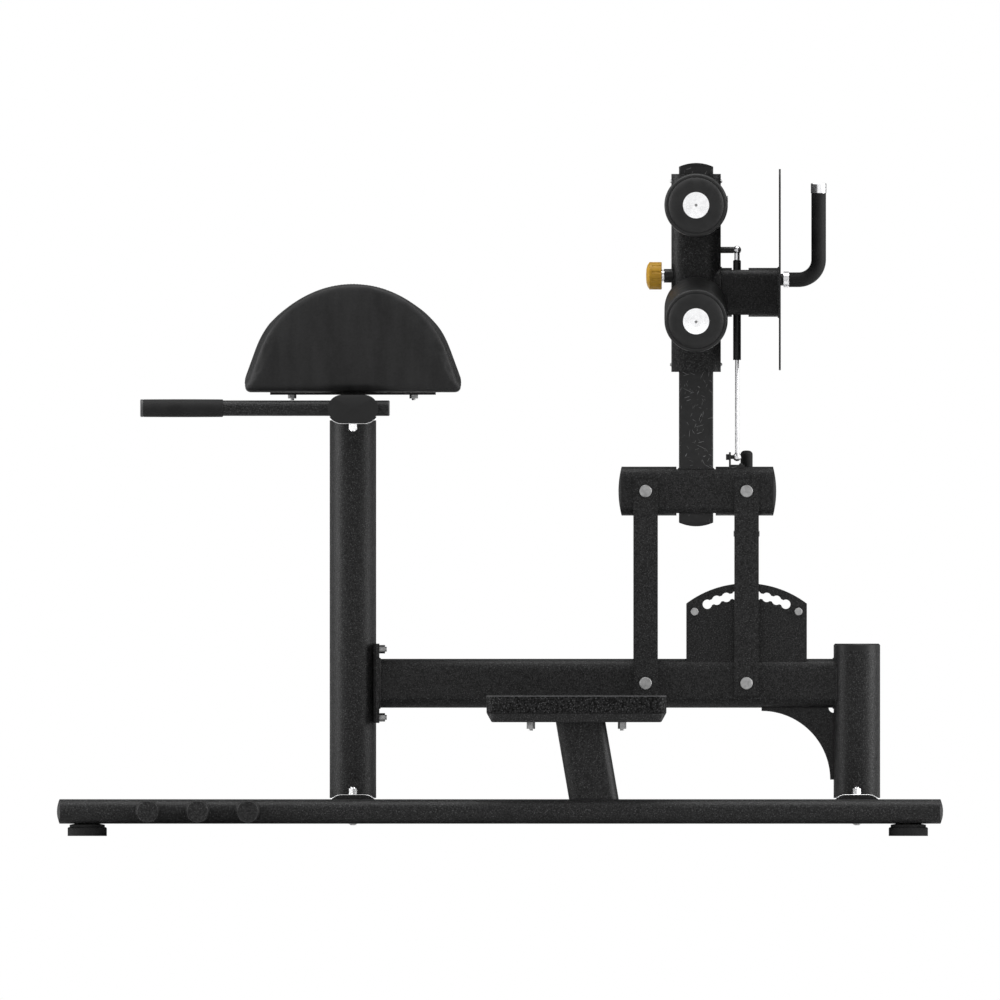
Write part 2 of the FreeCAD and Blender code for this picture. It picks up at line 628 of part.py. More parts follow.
def cushion(place):
    """Half-round section: an arc whose sides run down and outwards to rounded corners."""
    flare = math.radians(size("pad_flare"))
    radius, centre, bottom = size("pad_radius"), size("pad_centre"), size("pad_bottom")
    touch = Vector(radius * math.cos(flare), centre + radius * math.sin(flare), 0)
    foot = Vector(touch.x + (touch.y - bottom) * math.tan(flare), bottom, 0)
    body = new_body("cushion")
    sketch = new_sketch(body, "cushion", "XZ_Plane")
    arc = Part.Circle(Vector(0, centre, 0), Z_AXIS, radius)
    sketch.addGeometry(Part.ArcOfCircle(arc, flare, math.pi - flare))
    mirror_touch, mirror_foot = Vector(-touch.x, touch.y, 0), Vector(-foot.x, foot.y, 0)
    sketch.addGeometry(Part.LineSegment(mirror_touch, mirror_foot))
    sketch.addGeometry(Part.LineSegment(mirror_foot, foot))
    sketch.addGeometry(Part.LineSegment(foot, touch))
    for here, there, kind in ((0, 1, "Tangent"), (1, 2, "Coincident"), (2, 3, "Coincident"),
                              (3, 0, "Tangent")):
        sketch.addConstraint(Sketcher.Constraint(kind, here, 2, there, 1))
    sketch.addConstraint(Sketcher.Constraint("PointOnObject", 0, 3, -2))
    sketch.addConstraint(Sketcher.Constraint("Symmetric", 1, 2, 3, 1, -2))
    name_constraint(sketch, Sketcher.Constraint("Radius", 0, radius), "crown", "pad_radius")
    name_constraint(sketch, Sketcher.Constraint("DistanceY", -1, 1, 0, 3, centre), "middle", "pad_centre")
    name_constraint(sketch, Sketcher.Constraint("DistanceY", -1, 1, 2, 1, bottom), "floor", "pad_bottom")
    name_constraint(sketch, Sketcher.Constraint("DistanceX", 2, 1, 2, 2, 2 * foot.x), "base_width",
                    "2 * (pad_radius * cos(pad_flare * 1 deg) + (pad_centre - pad_bottom + "
                    "pad_radius * sin(pad_flare * 1 deg)) * tan(pad_flare * 1 deg))")
    pad = body.newObject("PartDesign::Pad", "cushion_pad")
    pad.Profile = sketch
    bind(pad, "Length", "2 * pad_half_width")
    pad.Midplane = True
    body.Placement = Placement(Vector(place, 0, 0), Rotation())
    corners = rounded("cushion_corners", body, "pad_corner",
                      lambda edge: parallel_to(Y_AXIS)(edge) and edge.CenterOfMass.z < bottom + 0.01)
    ends = size("pad_half_width")
    return rounded("cushion_soft", corners, "pad_corner",
                   lambda edge: in_plane(Vector(0, ends, 0), Y_AXIS)(edge) or
                   in_plane(Vector(0, -ends, 0), Y_AXIS)(edge))


# Lower beam --------------------------------------------------------------------------------------

def lower_beam_space(name, wall=None):
    start, end, level = size("beam_start"), size("rear_post_place"), size("lower_beam_level")
    return flat_oval(name, "oval_wide", "oval_tall", "rear_post_place - beam_start",
                     Vector((start + end) / 2, 0, level), X_AXIS, Z_AXIS, wall)


def pivot_place(end):
    """Where the front (-1) or rear (1) pair of pivots lies along X."""
    return size("pivot_middle") + end * size("pivot_spacing") / 2


def upper_level():
    return size("lower_beam_level") + size("link_length")


def bush_holes(name, level):
    half = size("bush_half")
    return [cylinder("%s_%d" % (name, end + 1), "bush_dia", "2 * bush_half",
                     Vector(pivot_place(end), -half, level), Y_AXIS) for end in (-1, 1)]


def flange_spots():
    level, spread = size("lower_beam_level"), size("flange_bolt_spread") / 2
    return [Vector(size("beam_start"), 0, level + sign * spread) for sign in (-1, 1)]


def flange_holes():
    reach = size("beam_start") - size("front_post_place")
    return [bolt_hole("flange_hole_%d" % index, "shank_dia", spot - X_AXIS * reach, X_AXIS, reach)
            for index, spot in enumerate(flange_spots())]


def make_lower_beam(posts):
    """The beam between the posts, its bolted flange and the gusset under its rear end."""
    level, start = size("lower_beam_level"), size("beam_start")
    beam = lower_beam_space("lower_beam_tube", "wall")
    keep("lower_beam", cut("lower_beam", beam, [posts["rear"]] + bush_holes("lower_hole", level)))

    thick = size("flange_thick")
    plate = block("flange_plate", "flange_thick", "flange_width", "flange_tall",
                  Vector(start - thick / 2, 0, level))
    cradle = block("flange_cradle_block", "2 * flange_thick", "flange_cradle", "flange_tall",
                   Vector(start - thick, 0, level))
    whole = fuse("flange_whole", [plate, cradle])
    keep("beam_flange", cut("beam_flange", whole, [posts["front"]] + flange_holes()))
    bolts = []
    for index, spot in enumerate(flange_spots()):
        reach = start - size("front_post_place") - 10
        bolts.append(hex_bolt("flange_bolt_%d" % index, "hex_flats", "flange_hex_tall", reach, spot,
                              X_AXIS * -1, "shank_dia"))

    corner = size("gusset_corner_level")
    front = size("rear_post_place") - size("post_dia") / 2 - size("gusset_length")
    under = level - size("oval_wide") / 2
    blank = block("gusset_blank", "gusset_length + wall * 2", "gusset_thick",
                  "lower_beam_level - oval_wide / 2 - gusset_corner_level + wall",
                  Vector(front + size("gusset_length") / 2 + size("wall"), 0,
                         (under + corner + size("wall")) / 2))
    thick = size("gusset_thick")
    hollow = cylinder("gusset_hollow", "2 * gusset_radius", "2 * gusset_thick",
                      Vector(front, -thick, corner), Y_AXIS)
    relief = cylinder("gusset_relief", "2 * gusset_notch", "2 * gusset_thick",
                      Vector(front + size("gusset_length"), -thick, under), Y_AXIS)
    keep("rear_gusset", cut("rear_gusset", blank, [hollow, relief, posts["rear"],
                                                   lower_beam_space("gusset_beam_space")]))
    return bolts


# Steps -------------------------------------------------------------------------------------------

def make_steps():
    """A tread on a leaning strut over each rail."""
    treads, struts, bolts = [], [], []
    for side, sign in SIDES:
        middle = Vector(size("tread_middle"), sign * size("rail_offset"), size("tread_bottom"))
        plate_thick = size("strut_plate_thick")
        plate = block("strut_plate_" + side, "strut_plate_length", "strut_plate_width",
                      "strut_plate_thick", middle + Z_AXIS * (plate_thick / 2))
        holes = []
        for end in (-1, 1):
            spot = middle + X_AXIS * (end * size("step_bolt_spread"))
            name = "%s_%d" % (side, end + 1)
            reach = size("tread_tall") / 2
            holes.append(bolt_hole("step_hole_" + name, "hex_shank", spot, Z_AXIS, reach))
            bolts.append(hex_bolt("step_bolt_" + name, "hex_flats", "step_hex_tall", reach, spot, Z_AXIS))
        treads.append(cut("tread_" + side, tread_solid(side, middle), [plate] + holes))
        struts.append(cut("strut_" + side, fuse("strut_whole_" + side, [strut_tube(side, sign), plate]),
                          holes))
    keep("step_treads", group("step_treads", treads))
    keep("step_struts", group("step_struts", struts))
    return bolts


def tread_solid(side, middle):
    """A thick tread whose lower band tapers in at both ends."""
    half, inset = "tread_length / 2", "tread_length / 2 - tread_taper"
    seam = "tread_seam - tread_bottom"
    corners = [("-(%s)" % inset, "0"), (inset, "0"), (half, seam), (half, "tread_tall"),
               ("-" + half, "tread_tall"), ("-" + half, seam)]
    name = "tread_blank_" + side
    body = new_body(name)
    sketch = new_sketch(body, name, "XZ_Plane")
    draw_outline(sketch, corners)
    pad = body.newObject("PartDesign::Pad", name + "_pad")
    pad.Profile = sketch
    bind(pad, "Length", "tread_width")
    pad.Midplane = True
    body.Placement = Placement(middle, Rotation())
    return rounded("tread_soft_" + side, body, "tread_corner", parallel_to(Z_AXIS))


def strut_tube(side, sign):
    lean = math.radians(size("strut_lean"))
    run, across = Vector(-math.sin(lean), 0, math.cos(lean)), Vector(math.cos(lean), 0, math.sin(lean))
    rail_top = size("rail_level") + size("oval_tall") / 2
    span = size("tread_bottom") - rail_top
    middle = Vector(size("strut_middle"), sign * size("rail_offset"), rail_top + span / 2)
    tube = flat_oval("strut_tube_" + side, "oval_wide", "oval_tall", "1.3 * (tread_bottom - rail_level)",
                     middle, run, across, "wall")
    window = block("strut_window_" + side, "4 * oval_wide", "2 * oval_wide", span, middle)
    return common("strut_cut_" + side, tube, window)


# Linkage -----------------------------------------------------------------------------------------

def make_pivots(label, level):
    """Bushes welded through a beam, and the double-headed bolts that the links turn on."""
    bushes, bolts = [], []
    half = size("bush_half")
    face = size("link_inner_face") + size("link_thick") + size("pivot_head_gap")
    tall = size("pivot_head_tall")
    for end in (-1, 1):
        name = "%s_%d" % (label, end + 1)
        base = Vector(pivot_place(end), -half, level)
        outer = cylinder(name + "_outer", "bush_dia", "2 * bush_half", base, Y_AXIS)
        inner = cylinder(name + "_inner", "pivot_dia", "2 * bush_half", base, Y_AXIS)
        bushes.append(cut(name + "_bush", outer, [inner]))
        centre = Vector(pivot_place(end), 0, level)
        shank = cylinder(name + "_shank", "pivot_dia", 2 * face, centre - Y_AXIS * face, Y_AXIS)
        heads = []
        for side, sign in SIDES:
            out = Y_AXIS * sign
            head = cylinder("%s_%s_head" % (name, side), "pivot_head_dia", "pivot_head_tall",
                            centre + out * face, out)
            rim = in_plane(centre + out * (face + tall), out)
            heads.append(rounded("%s_%s_dome" % (name, side), head, "pivot_head_round", rim))
        bolts.append(fuse(name + "_bolt", [shank] + heads))
    keep(label + "_pivot_bushes", group(label + "_pivot_bushes", bushes))
    keep(label + "_pivot_bolts", group(label + "_pivot_bolts", bolts))


def link_bar(name, end, sign, upper_gap):
    """One flat link with its two pivot holes; the upper hole's gap is given."""
    middle_y = sign * (size("link_inner_face") + size("link_thick") / 2)
    centre = Vector(pivot_place(end), middle_y, size("lower_beam_level") + size("link_length") / 2)
    blank = block(name + "_blank", "link_width", "link_thick", "link_length + link_width", centre)
    soft = rounded(name + "_soft", blank, "link_round", parallel_to(Y_AXIS))
    holes = []
    for spot, level, gap in (("low", size("lower_beam_level"), "running_gap"),
                             ("high", upper_level(), upper_gap)):
        start = Vector(pivot_place(end), middle_y - size("link_thick"), level)
        holes.append(cylinder("%s_%s" % (name, spot), "pivot_dia + 2 * %s" % gap, "2 * link_thick",
                              start, Y_AXIS))
    return cut(name, soft, holes)


def latch_level():
    return size("lower_beam_level") + size("notch_radius")


def latch_place(y=0, z=None):
    return Vector(pivot_place(1), y, latch_level() if z is None else z)


def make_links():
    """Two pairs of link bars; the right rear one also carries the latch's boss and ears."""
    front = [link_bar("front_link_" + side, -1, sign, "running_gap") for side, sign in SIDES]
    keep("front_link_bars", group("front_link_bars", front))
    rear = [link_bar("rear_link_" + side, 1, sign, "open_pivot_gap") for side, sign in SIDES]
    face = size("link_inner_face")
    boss = cylinder("latch_boss", "boss_dia", "link_thick + boss_length", latch_place(face), Y_AXIS)
    bore = cylinder("latch_bore", "latch_thick_dia + 2 * running_gap", "3 * boss_dia",
                    latch_place(face - size("link_thick")), Y_AXIS)
    whole = fuse("rear_link_whole", [rear[1], boss] + latch_ears())
    rear[1] = cut("rear_link_drilled", whole, [bore])
    keep("rear_link_bars", group("rear_link_bars", rear))


def latch_ears():
    """Two ears on the right rear link that hold the latch lever's axle."""
    ears = []
    outer = size("link_inner_face") + size("link_thick")
    reach = size("latch_plane") + size("lever_thick")
    offset = size("lever_width") / 2 + size("ear_gap") + size("ear_thick") / 2
    for index in (-1, 1):
        name = "latch_ear_%d" % (index + 1)
        middle = latch_place((outer + reach) / 2, size("latch_pivot_level")) + X_AXIS * (index * offset)
        blank = block(name + "_blank", "ear_thick", reach - outer, "ear_tall", middle)
        soft = rounded(name + "_soft", blank, "tread_taper",
                       lambda edge: parallel_to(X_AXIS)(edge) and edge.CenterOfMass.y > reach - 0.01)
        hole = cylinder(name + "_hole", "latch_axle_dia", "3 * ear_thick",
                        middle + Vector(-1.5 * size("ear_thick"), size("latch_plane") -
                                        (outer + reach) / 2, 0), X_AXIS)
        ears.append(cut(name, soft, [hole]))
    return ears


def make_notch_plates():
    """Two plates on the lower beam, with a run of round notches along an arc about the rear pivot."""
    centre = Vector(pivot_place(1), 0, size("lower_beam_level"))
    inner, thick = size("notch_inner_face"), size("notch_thick")
    deep = inner + 2 * thick
    base = centre - Y_AXIS * deep
    radius, step = size("notch_radius"), size("notch_step")
    reach = 4 * step
    start = Vector(-math.sin(math.radians(reach)), 0, math.cos(math.radians(reach)))
    sectors = []
    for name, sign in (("outer", "+"), ("inner", "-")):
        ring = cylinder("channel_" + name, "2 * notch_radius %s notch_channel" % sign, 2 * deep, base,
                        Y_AXIS)
        ring.Placement = Placement(base, facing(Y_AXIS, start))
        sectors.append(ring)
    bind(sectors[0], "Angle", "8 * notch_step")
    tools = [cut("notch_channel", sectors[0], [sectors[1]])]
    for index in range(-4, 5):
        angle = math.radians(index * step)
        spot = base + Vector(radius * math.sin(angle), 0, radius * math.cos(angle))
        tools.append(cylinder("notch_%d" % (index + 4), "notch_dia", 2 * deep, spot, Y_AXIS))
    spread, level = size("notch_bolt_spread"), size("notch_bolt_level")
    bolt_spots = [Vector(centre.x + sign * spread, 0, level) for sign in (-1, 1)]
    for index, spot in enumerate(bolt_spots):
        tools.append(bolt_hole("notch_hole_%d" % index, "notch_bolt_shank", spot - Y_AXIS * deep, Y_AXIS,
                               2 * deep))
    tools.append(lower_beam_space("notch_beam_space"))
    plates = []
    for side, sign in SIDES:
        top, bottom = centre.z + size("notch_plate_radius"), centre.z + size("notch_foot")
        blank = block("notch_blank_" + side, "2 * notch_plate_half", "notch_thick", top - bottom,
                      Vector(centre.x, sign * (inner + thick / 2), (top + bottom) / 2))
        disc = cylinder("notch_disc_" + side, "2 * notch_plate_radius", 2 * deep, base, Y_AXIS)
        plates.append(cut("notch_plate_" + side, common("notch_arc_" + side, blank, disc), tools))
    keep("notch_plates", group("notch_plates", plates))

    fasteners = []
    for index, spot in enumerate(bolt_spots):
        name = "notch_bolt_%d" % index
        head, outer = size("notch_bolt_head"), inner + thick
        shank = cylinder(name + "_shank", "notch_bolt_shank", 2 * outer, spot - Y_AXIS * outer, Y_AXIS)
        sleeve = cylinder(name + "_sleeve", "notch_bolt_dia", 2 * inner, spot - Y_AXIS * inner, Y_AXIS)
        heads = []
        for side, sign in SIDES:
            out = Y_AXIS * sign
            blank = cylinder("%s_%s" % (name, side), "notch_bolt_dia", "notch_bolt_head",
                             spot + out * outer, out)
            heads.append(rounded("%s_%s_dome" % (name, side), blank, "pivot_head_round",
                                 in_plane(spot + out * (outer + head), out)))
        fasteners.append(fuse(name, [shank, sleeve] + heads))
        spacer = Vector(centre.x + (2 * index - 1) * size("spacer_spread"), -inner, size("spacer_level"))
        fasteners.append(cylinder("notch_spacer_%d" % index, "spacer_dia", 2 * inner, spacer, Y_AXIS))
    keep("notch_plate_bolts", group("notch_plate_bolts", fasteners))


def latch_arm():
    return size("latch_pivot_level") - latch_level()


def make_latch():
    """The lever, its axle, its grip and the stepped pin, all stored in the released position."""
    plane, level = size("latch_plane"), size("latch_pivot_level")
    axle_place = latch_place(plane, level)
    half = size("latch_axle_length") / 2
    inside = size("lever_width") / 2 + size("ear_gap") + size("ear_thick")
    axle = cylinder("latch_axle", "latch_axle_dia", "latch_axle_length", axle_place - X_AXIS * half,
                    X_AXIS)
    heads = [cylinder("latch_axle_head_%d" % (sign + 1), "latch_axle_head", half - inside,
                      axle_place + X_AXIS * (sign * inside), X_AXIS * sign) for sign in (-1, 1)]
    keep("latch_pivot_pin", fuse("latch_pivot_pin", [axle] + heads))

    foot = latch_level() - size("lever_foot")
    grip_low, grip_high = size("latch_grip_bottom"), size("latch_grip_top")
    middle = latch_place(plane, (foot + grip_low) / 2)
    bar = block("lever_bar", "lever_width", "lever_thick", grip_low - foot, middle)
    hub = cylinder("lever_hub", "2 * latch_axle_dia", "lever_width",
                   axle_place - X_AXIS * (size("lever_width") / 2), X_AXIS)
    tang_top = grip_high - size("lever_foot")
    tang = cylinder("lever_tang", "latch_axle_head", tang_top - grip_low, latch_place(plane, grip_low))
    bore = cylinder("lever_bore", "latch_axle_dia + 2 * running_gap", "lever_width",
                    axle_place - X_AXIS * (size("lever_width") / 2), X_AXIS)
    fork_wide = size("latch_thin_dia") + 1
    fork = block("lever_fork", fork_wide, "4 * lever_thick", 2 * size("lever_foot") + fork_wide,
                 latch_place(plane, latch_level() - size("lever_foot")))
    lever = cut("lever_upright", fuse("lever_solid", [bar, hub, tang]), [bore, fork])
    knob = cylinder("latch_grip_blank", "latch_grip_dia", grip_high - grip_low,
                    latch_place(plane, grip_low))
    dome = rounded("latch_grip_dome", knob, "latch_grip_round",
                   in_plane(latch_place(plane, grip_high), Z_AXIS))
    grip = cut("latch_grip_upright", dome, [tang])
    released = math.degrees(size("latch_travel") / latch_arm())
    for label, source in (("latch_lever", lever), ("latch_grip", grip)):
        tilted = group(label, [source])
        tilted.Placement = Placement(Vector(), Rotation(X_AXIS, released), axle_place)
        keep(label, tilted)

    thick, thin, collar = "latch_thick_dia / 2", "latch_thin_dia / 2", "latch_collar_dia / 2"
    inner_edge, outer_edge = "notch_inner_face - 2", "notch_inner_face + notch_thick + 2"
    near = "latch_plane - latch_collar_gap"
    far = "latch_plane + latch_collar_gap"
    tip = far + " + latch_collar_thick"
    profile = [("0", "-(%s)" % outer_edge), (thick, "-(%s)" % outer_edge), (thick, "-(%s)" % inner_edge),
               (thin, "-(%s)" % inner_edge), (thin, inner_edge), (thick, inner_edge), (thick, near),
               (thin, near), (thin, far), (collar, far), (collar, tip), ("0", tip)]
    keep("latch_pin", turned("latch_pin", profile, latch_place(size("latch_travel")), Y_AXIS))


# Upper frame -------------------------------------------------------------------------------------

def upper_beam_space(name, wall=None):
    middle = Vector(size("upper_beam_place"), 0, upper_level())
    return flat_oval(name, "oval_wide", "oval_tall", "upper_beam_length", middle, X_AXIS, Z_AXIS, wall)


def make_upper_frame():
    """The upper beam, the upright that stands through it, and their caps."""
    middle = Vector(size("upper_beam_place"), 0, upper_level())
    place = Vector(size("pivot_middle"), 0, 0)
    slot = block("upright_slot", "upright_slot", "upright_wide", "2 * oval_wide",
                 place + Z_AXIS * middle.z)
    beam = upper_beam_space("upper_beam_tube", "wall")
    keep("upper_beam", cut("upper_beam", beam, [slot] + bush_holes("upper_hole", middle.z)))

    bottom, top = size("upright_bottom"), size("upright_top")
    centre = place + Z_AXIS * ((bottom + top) / 2)
    outer = rounded("upright_outer", block("upright_blank", "upright_deep", "upright_wide",
                                           "upright_top - upright_bottom", centre),
                    "upright_round", parallel_to(Z_AXIS))
    inner = block("upright_inner", "upright_deep - 2 * wall", "upright_wide - 2 * wall",
                  "upright_top - upright_bottom", centre)
    holes = []
    face = size("pivot_middle") - size("upright_deep") / 2
    for index in range(int(size("pin_hole_count"))):
        level = size("pop_pin_level") - index * size("pin_hole_pitch")
        start = Vector(face - size("wall"), 0, level)
        holes.append(cylinder("pin_hole_%d" % index, "plunger_dia + 2 * hole_gap", "3 * wall", start,
                              X_AXIS))
    keep("upright_post", cut("upright_post", outer, [inner] + holes))

    caps = []
    for end, run in (("front", -X_AXIS), ("rear", X_AXIS)):
        edge = middle + run * (size("upper_beam_length") / 2)
        caps.append(end_cap("upper_cap_" + end, ("oval_wide", "oval_tall"), ("oval_wide", "oval_tall"),
                            edge, run, Z_AXIS))
    for end, level, run in (("low", bottom, -1), ("high", top, 1)):
        caps.append(upright_cap(end, place + Z_AXIS * level, run))
    keep("upper_frame_caps", group("upper_frame_caps", caps))


def upright_cap(end, place, run):
    """A domed cap in an open end of the rectangular upright."""
    reach, depth = size("upright_cap"), size("plug_depth")
    blank = block("upright_cap_%s_blank" % end, "upright_deep", "upright_wide", "upright_cap",
                  place + Z_AXIS * (run * reach / 2))
    head = rounded("upright_cap_%s_head" % end, blank, "upright_round", parallel_to(Z_AXIS))
    centre = place + Z_AXIS * (run * (reach - size("upright_cap_radius"))) - Y_AXIS * size("upright_wide")
    drum = cylinder("upright_cap_%s_drum" % end, "2 * upright_cap_radius", "2 * upright_wide", centre,
                    Y_AXIS)
    dome = common("upright_cap_%s_dome" % end, head, drum)
    plug = block("upright_cap_%s_plug" % end, "upright_deep - 2 * wall - plug_gap",
                 "upright_wide - 2 * wall - plug_gap", "plug_depth", place - Z_AXIS * (run * depth / 2))
    return fuse("upright_cap_" + end, [dome, plug])


def make_spring_bracket():
    """The bent bracket on the upper beam, its eye bolt and the screw through its foot."""
    leg_place, thick = size("bracket_leg_place"), size("bracket_thick")
    crest = upper_level() + size("oval_wide") / 2
    low = crest - thick
    top, end = size("bracket_top"), size("bracket_foot_end")
    leg = block("bracket_leg", "bracket_thick", "bracket_width", top - low,
                Vector(leg_place + thick / 2, 0, (top + low) / 2))
    foot = block("bracket_foot", "bracket_foot_end - bracket_leg_place", "bracket_width", 2 * thick,
                 Vector((leg_place + end) / 2, 0, low + thick))
    level, head_start = size("spring_eye_level"), size("eye_bolt_start")
    shank = cylinder("eye_bolt_shank", "rod_dia", "eye_bolt_end - eye_bolt_start",
                     Vector(head_start, 0, level), X_AXIS)
    head = cylinder("eye_bolt_head", "eye_bolt_dia", leg_place - head_start,
                    Vector(head_start, 0, level), X_AXIS)
    bracket = cut("bracket", fuse("bracket_whole", [leg, foot]),
                  [upper_beam_space("bracket_beam_space"), shank])
    screw = cone("bracket_screw", "screw_dia", "screw_dia / 2", "screw_head",
                 Vector(end - size("screw_dia"), 0, low + 2 * thick))
    keep("spring_bracket", group("spring_bracket", [bracket, fuse("eye_bolt", [shank, head]), screw]))
    return shank


# Gas spring --------------------------------------------------------------------------------------

def make_gas_spring(eye_bolt, sleeve):
    """Rod on the upper frame, cylinder on the carriage, and the stud that carries the cylinder."""
    axis = Vector(size("spring_place"), 0, 0)
    rod_tip = size("spring_bottom") + size("piston_place")
    rod = cylinder("rod_shaft", "rod_dia", "spring_bottom + piston_place - spring_eye_level",
                   axis + Z_AXIS * size("spring_eye_level"))
    piston = cylinder("rod_piston", "spring_bore - 2 * running_gap", "rod_dia",
                      axis + Z_AXIS * rod_tip)
    eye = ball("rod_eye", "ball_dia", axis + Z_AXIS * size("spring_eye_level"))
    keep("gas_spring_rod", cut("gas_spring_rod", fuse("rod_whole", [rod, piston, eye]), [eye_bolt]))

    bottom, top = size("spring_bottom"), size("spring_top")
    shell = rounded("spring_shell", cylinder("spring_blank", "spring_dia", "spring_top - spring_bottom",
                                             axis + Z_AXIS * bottom),
                    "screw_head", in_plane(axis + Z_AXIS * top, Z_AXIS))
    neck = cylinder("spring_neck", "spring_neck_dia", "spring_stud_level - spring_top",
                    axis + Z_AXIS * top)
    socket = ball("spring_socket", "ball_dia", axis + Z_AXIS * size("spring_stud_level"))
    guide = cylinder("spring_guide", "rod_dia + 2 * running_gap", "rod_dia", axis + Z_AXIS * bottom)
    bore = cylinder("spring_cavity", "spring_bore", "spring_top - spring_bottom - rod_dia",
                    axis + Z_AXIS * (bottom + size("rod_dia") / 2))
    start = Vector(size("pivot_middle"), 0, size("spring_stud_level"))
    stud = cylinder("stud_bar", "spring_stud_dia", "spring_place - ball_dia / 2 + 2 - pivot_middle", start,
                    X_AXIS)
    stub = cut("gas_spring_stud", stud, [sleeve])
    keep("gas_spring_stud", stub)
    keep("gas_spring_cylinder", cut("gas_spring_cylinder", fuse("spring_whole", [shell, neck, socket]),
                                    [guide, bore, stud]))


# Carriage ----------------------------------------------------------------------------------------

def sleeve_middle():
    return Vector(size("pivot_middle"), 0, size("sleeve_bottom") + size("sleeve_length") / 2)


def make_sleeve():
    """The flat-oval sleeve on the upright, its plastic liners and screws; returns its envelope."""
    middle = sleeve_middle()
    space = flat_oval("sleeve_space", "sleeve_deep", "sleeve_wide", "sleeve_length", middle, Z_AXIS,
                      X_AXIS)
    tube = flat_oval("sleeve_tube", "sleeve_deep", "sleeve_wide", "sleeve_length", middle, Z_AXIS, X_AXIS,
                     "wall")
    half = size("sleeve_length") / 2
    bore = block("liner_bore", "upright_deep + 2 * liner_gap", "upright_wide + 2 * liner_gap",
                 "2 * sleeve_length", middle)
    liners, screws, shanks = [], [], []
    for name, sign in (("low", -1), ("high", 1)):
        centre = middle + Z_AXIS * (sign * (half - size("liner_length") / 2))
        bar = flat_oval("liner_%s_bar" % name, "sleeve_deep - 2 * wall", "sleeve_wide - 2 * wall",
                        "liner_length", centre, Z_AXIS, X_AXIS)
        level = middle.z + sign * (half - size("screw_inset"))
        for face, out in (("front", -X_AXIS), ("rear", X_AXIS)):
            spot = Vector(middle.x, 0, level) + out * (size("sleeve_deep") / 2)
            shank = cylinder("liner_shank_%s_%s" % (name, face), "screw_dia / 2", "2 * screw_head", spot,
                             out * -1)
            head = cone("liner_head_%s_%s" % (name, face), "screw_dia", "screw_dia / 2", "screw_head",
                        spot, out)
            shanks.append(shank)
            screws.append(fuse("liner_screw_%s_%s" % (name, face), [shank, head]))
        liners.append((name, bar))
    drilled = [cut("liner_" + name, bar, [bore] + shanks) for name, bar in liners]
    keep("sleeve_liners", group("sleeve_liners", drilled))

    clamp = Vector(middle.x + size("sleeve_deep") / 2, 0, size("clamp_bolt_level"))
    head = hexagon("clamp_head", "clamp_bolt_dia", "clamp_bolt_reach", clamp, X_AXIS)
    shank = cylinder("clamp_shank", "screw_dia", "2 * wall", clamp, X_AXIS * -1)
    screws.append(fuse("clamp_bolt", [head, shank]))
    keep("sleeve_screws", group("sleeve_screws", screws))

    pin = cylinder("sleeve_pin_hole", "plunger_dia + 1", "sleeve_deep / 2",
                   Vector(middle.x - size("sleeve_deep") / 2 - 1, 0, size("pop_pin_level")), X_AXIS)
    keep("carriage_sleeve", cut("carriage_sleeve", tube, shanks + [shank, pin]))
    return space


def make_footplate(sleeve):
    """The arm behind the sleeve, with its slot for the gas spring, and the footplate on its end."""
    start, end, level = size("pivot_middle"), size("arm_end"), size("arm_level")
    arm = flat_oval("arm_tube", "oval_wide", "oval_tall", "arm_end - pivot_middle",
                    Vector((start + end) / 2, 0, level), X_AXIS, Z_AXIS, "wall")
    slot = block("arm_slot", "arm_slot_end - arm_slot_start", "arm_slot_wide", "2 * oval_wide",
                 Vector((size("arm_slot_start") + size("arm_slot_end")) / 2, 0, level))
    keep("footplate_arm", cut("footplate_arm", arm, [sleeve, slot]))
    low, high, thick = size("footplate_bottom"), size("footplate_top"), size("footplate_thick")
    plate = block("footplate_blank", "footplate_thick", "footplate_width",
                  "footplate_top - footplate_bottom", Vector(end + thick / 2, 0, (low + high) / 2))
    keep("footplate", rounded("footplate", plate, "footplate_corner", parallel_to(X_AXIS)))


def bent_bar(name, diameter, start, bend_start, bend_middle, top):
    """A round bar that runs along X, turns upwards and runs up to top."""
    flat = cylinder(name + "_flat", diameter, bend_start.x - start.x, start, X_AXIS)
    bend = doc.addObject("Part::Torus", name + "_bend")
    bind(bend, "Radius1", "foot_bend")
    bind(bend, "Radius2", "(%s) / 2" % diameter)
    bend.Angle3 = 90
    bend.Placement = Placement(bend_middle, facing(Y_AXIS * -1, Z_AXIS * -1))
    upright = Vector(bend_middle.x + size("foot_bend"), 0, bend_middle.z)
    rise = cylinder(name + "_rise", diameter, top - upright.z, upright)
    return fuse(name, [flat, bend, rise])


def make_foot_handle():
    """The L-shaped pull handle behind the footplate: bar, rubber grip, collar and end cap."""
    level, place, bend = size("foot_handle_level"), size("foot_handle_place"), size("foot_bend")
    bend_start = Vector(place - bend, 0, level)
    bend_middle = Vector(place - bend, 0, level + bend)
    plate_back = size("arm_end") + size("footplate_thick")
    cap_base = size("foot_grip_top")
    cap_tall = size("end_cap_tall")
    bar = bent_bar("foot_handle_tube", "handle_tube_dia", Vector(plate_back, 0, level), bend_start,
                   bend_middle, cap_base + cap_tall / 2)
    keep("foot_handle_tube", bar)
    skin = bent_bar("foot_grip_skin", "foot_grip_dia", Vector(size("collar_end"), 0, level), bend_start,
                    bend_middle, cap_base)
    keep("foot_handle_grip", cut("foot_handle_grip", skin, [bar]))
    collar = cylinder("collar_blank", "collar_dia", "collar_end - collar_start",
                      Vector(size("collar_start"), 0, level), X_AXIS)
    cap = cylinder("end_cap_blank", "end_cap_dia", "end_cap_tall", Vector(place, 0, cap_base))
    dome = rounded("end_cap_dome", cap, "end_cap_round",
                   in_plane(Vector(place, 0, cap_base + cap_tall), Z_AXIS))
    keep("foot_handle_fittings", group("foot_handle_fittings", [cut("handle_collar", collar, [bar]),
                                                                cut("handle_cap", dome, [bar])]))


# Rollers -----------------------------------------------------------------------------------------

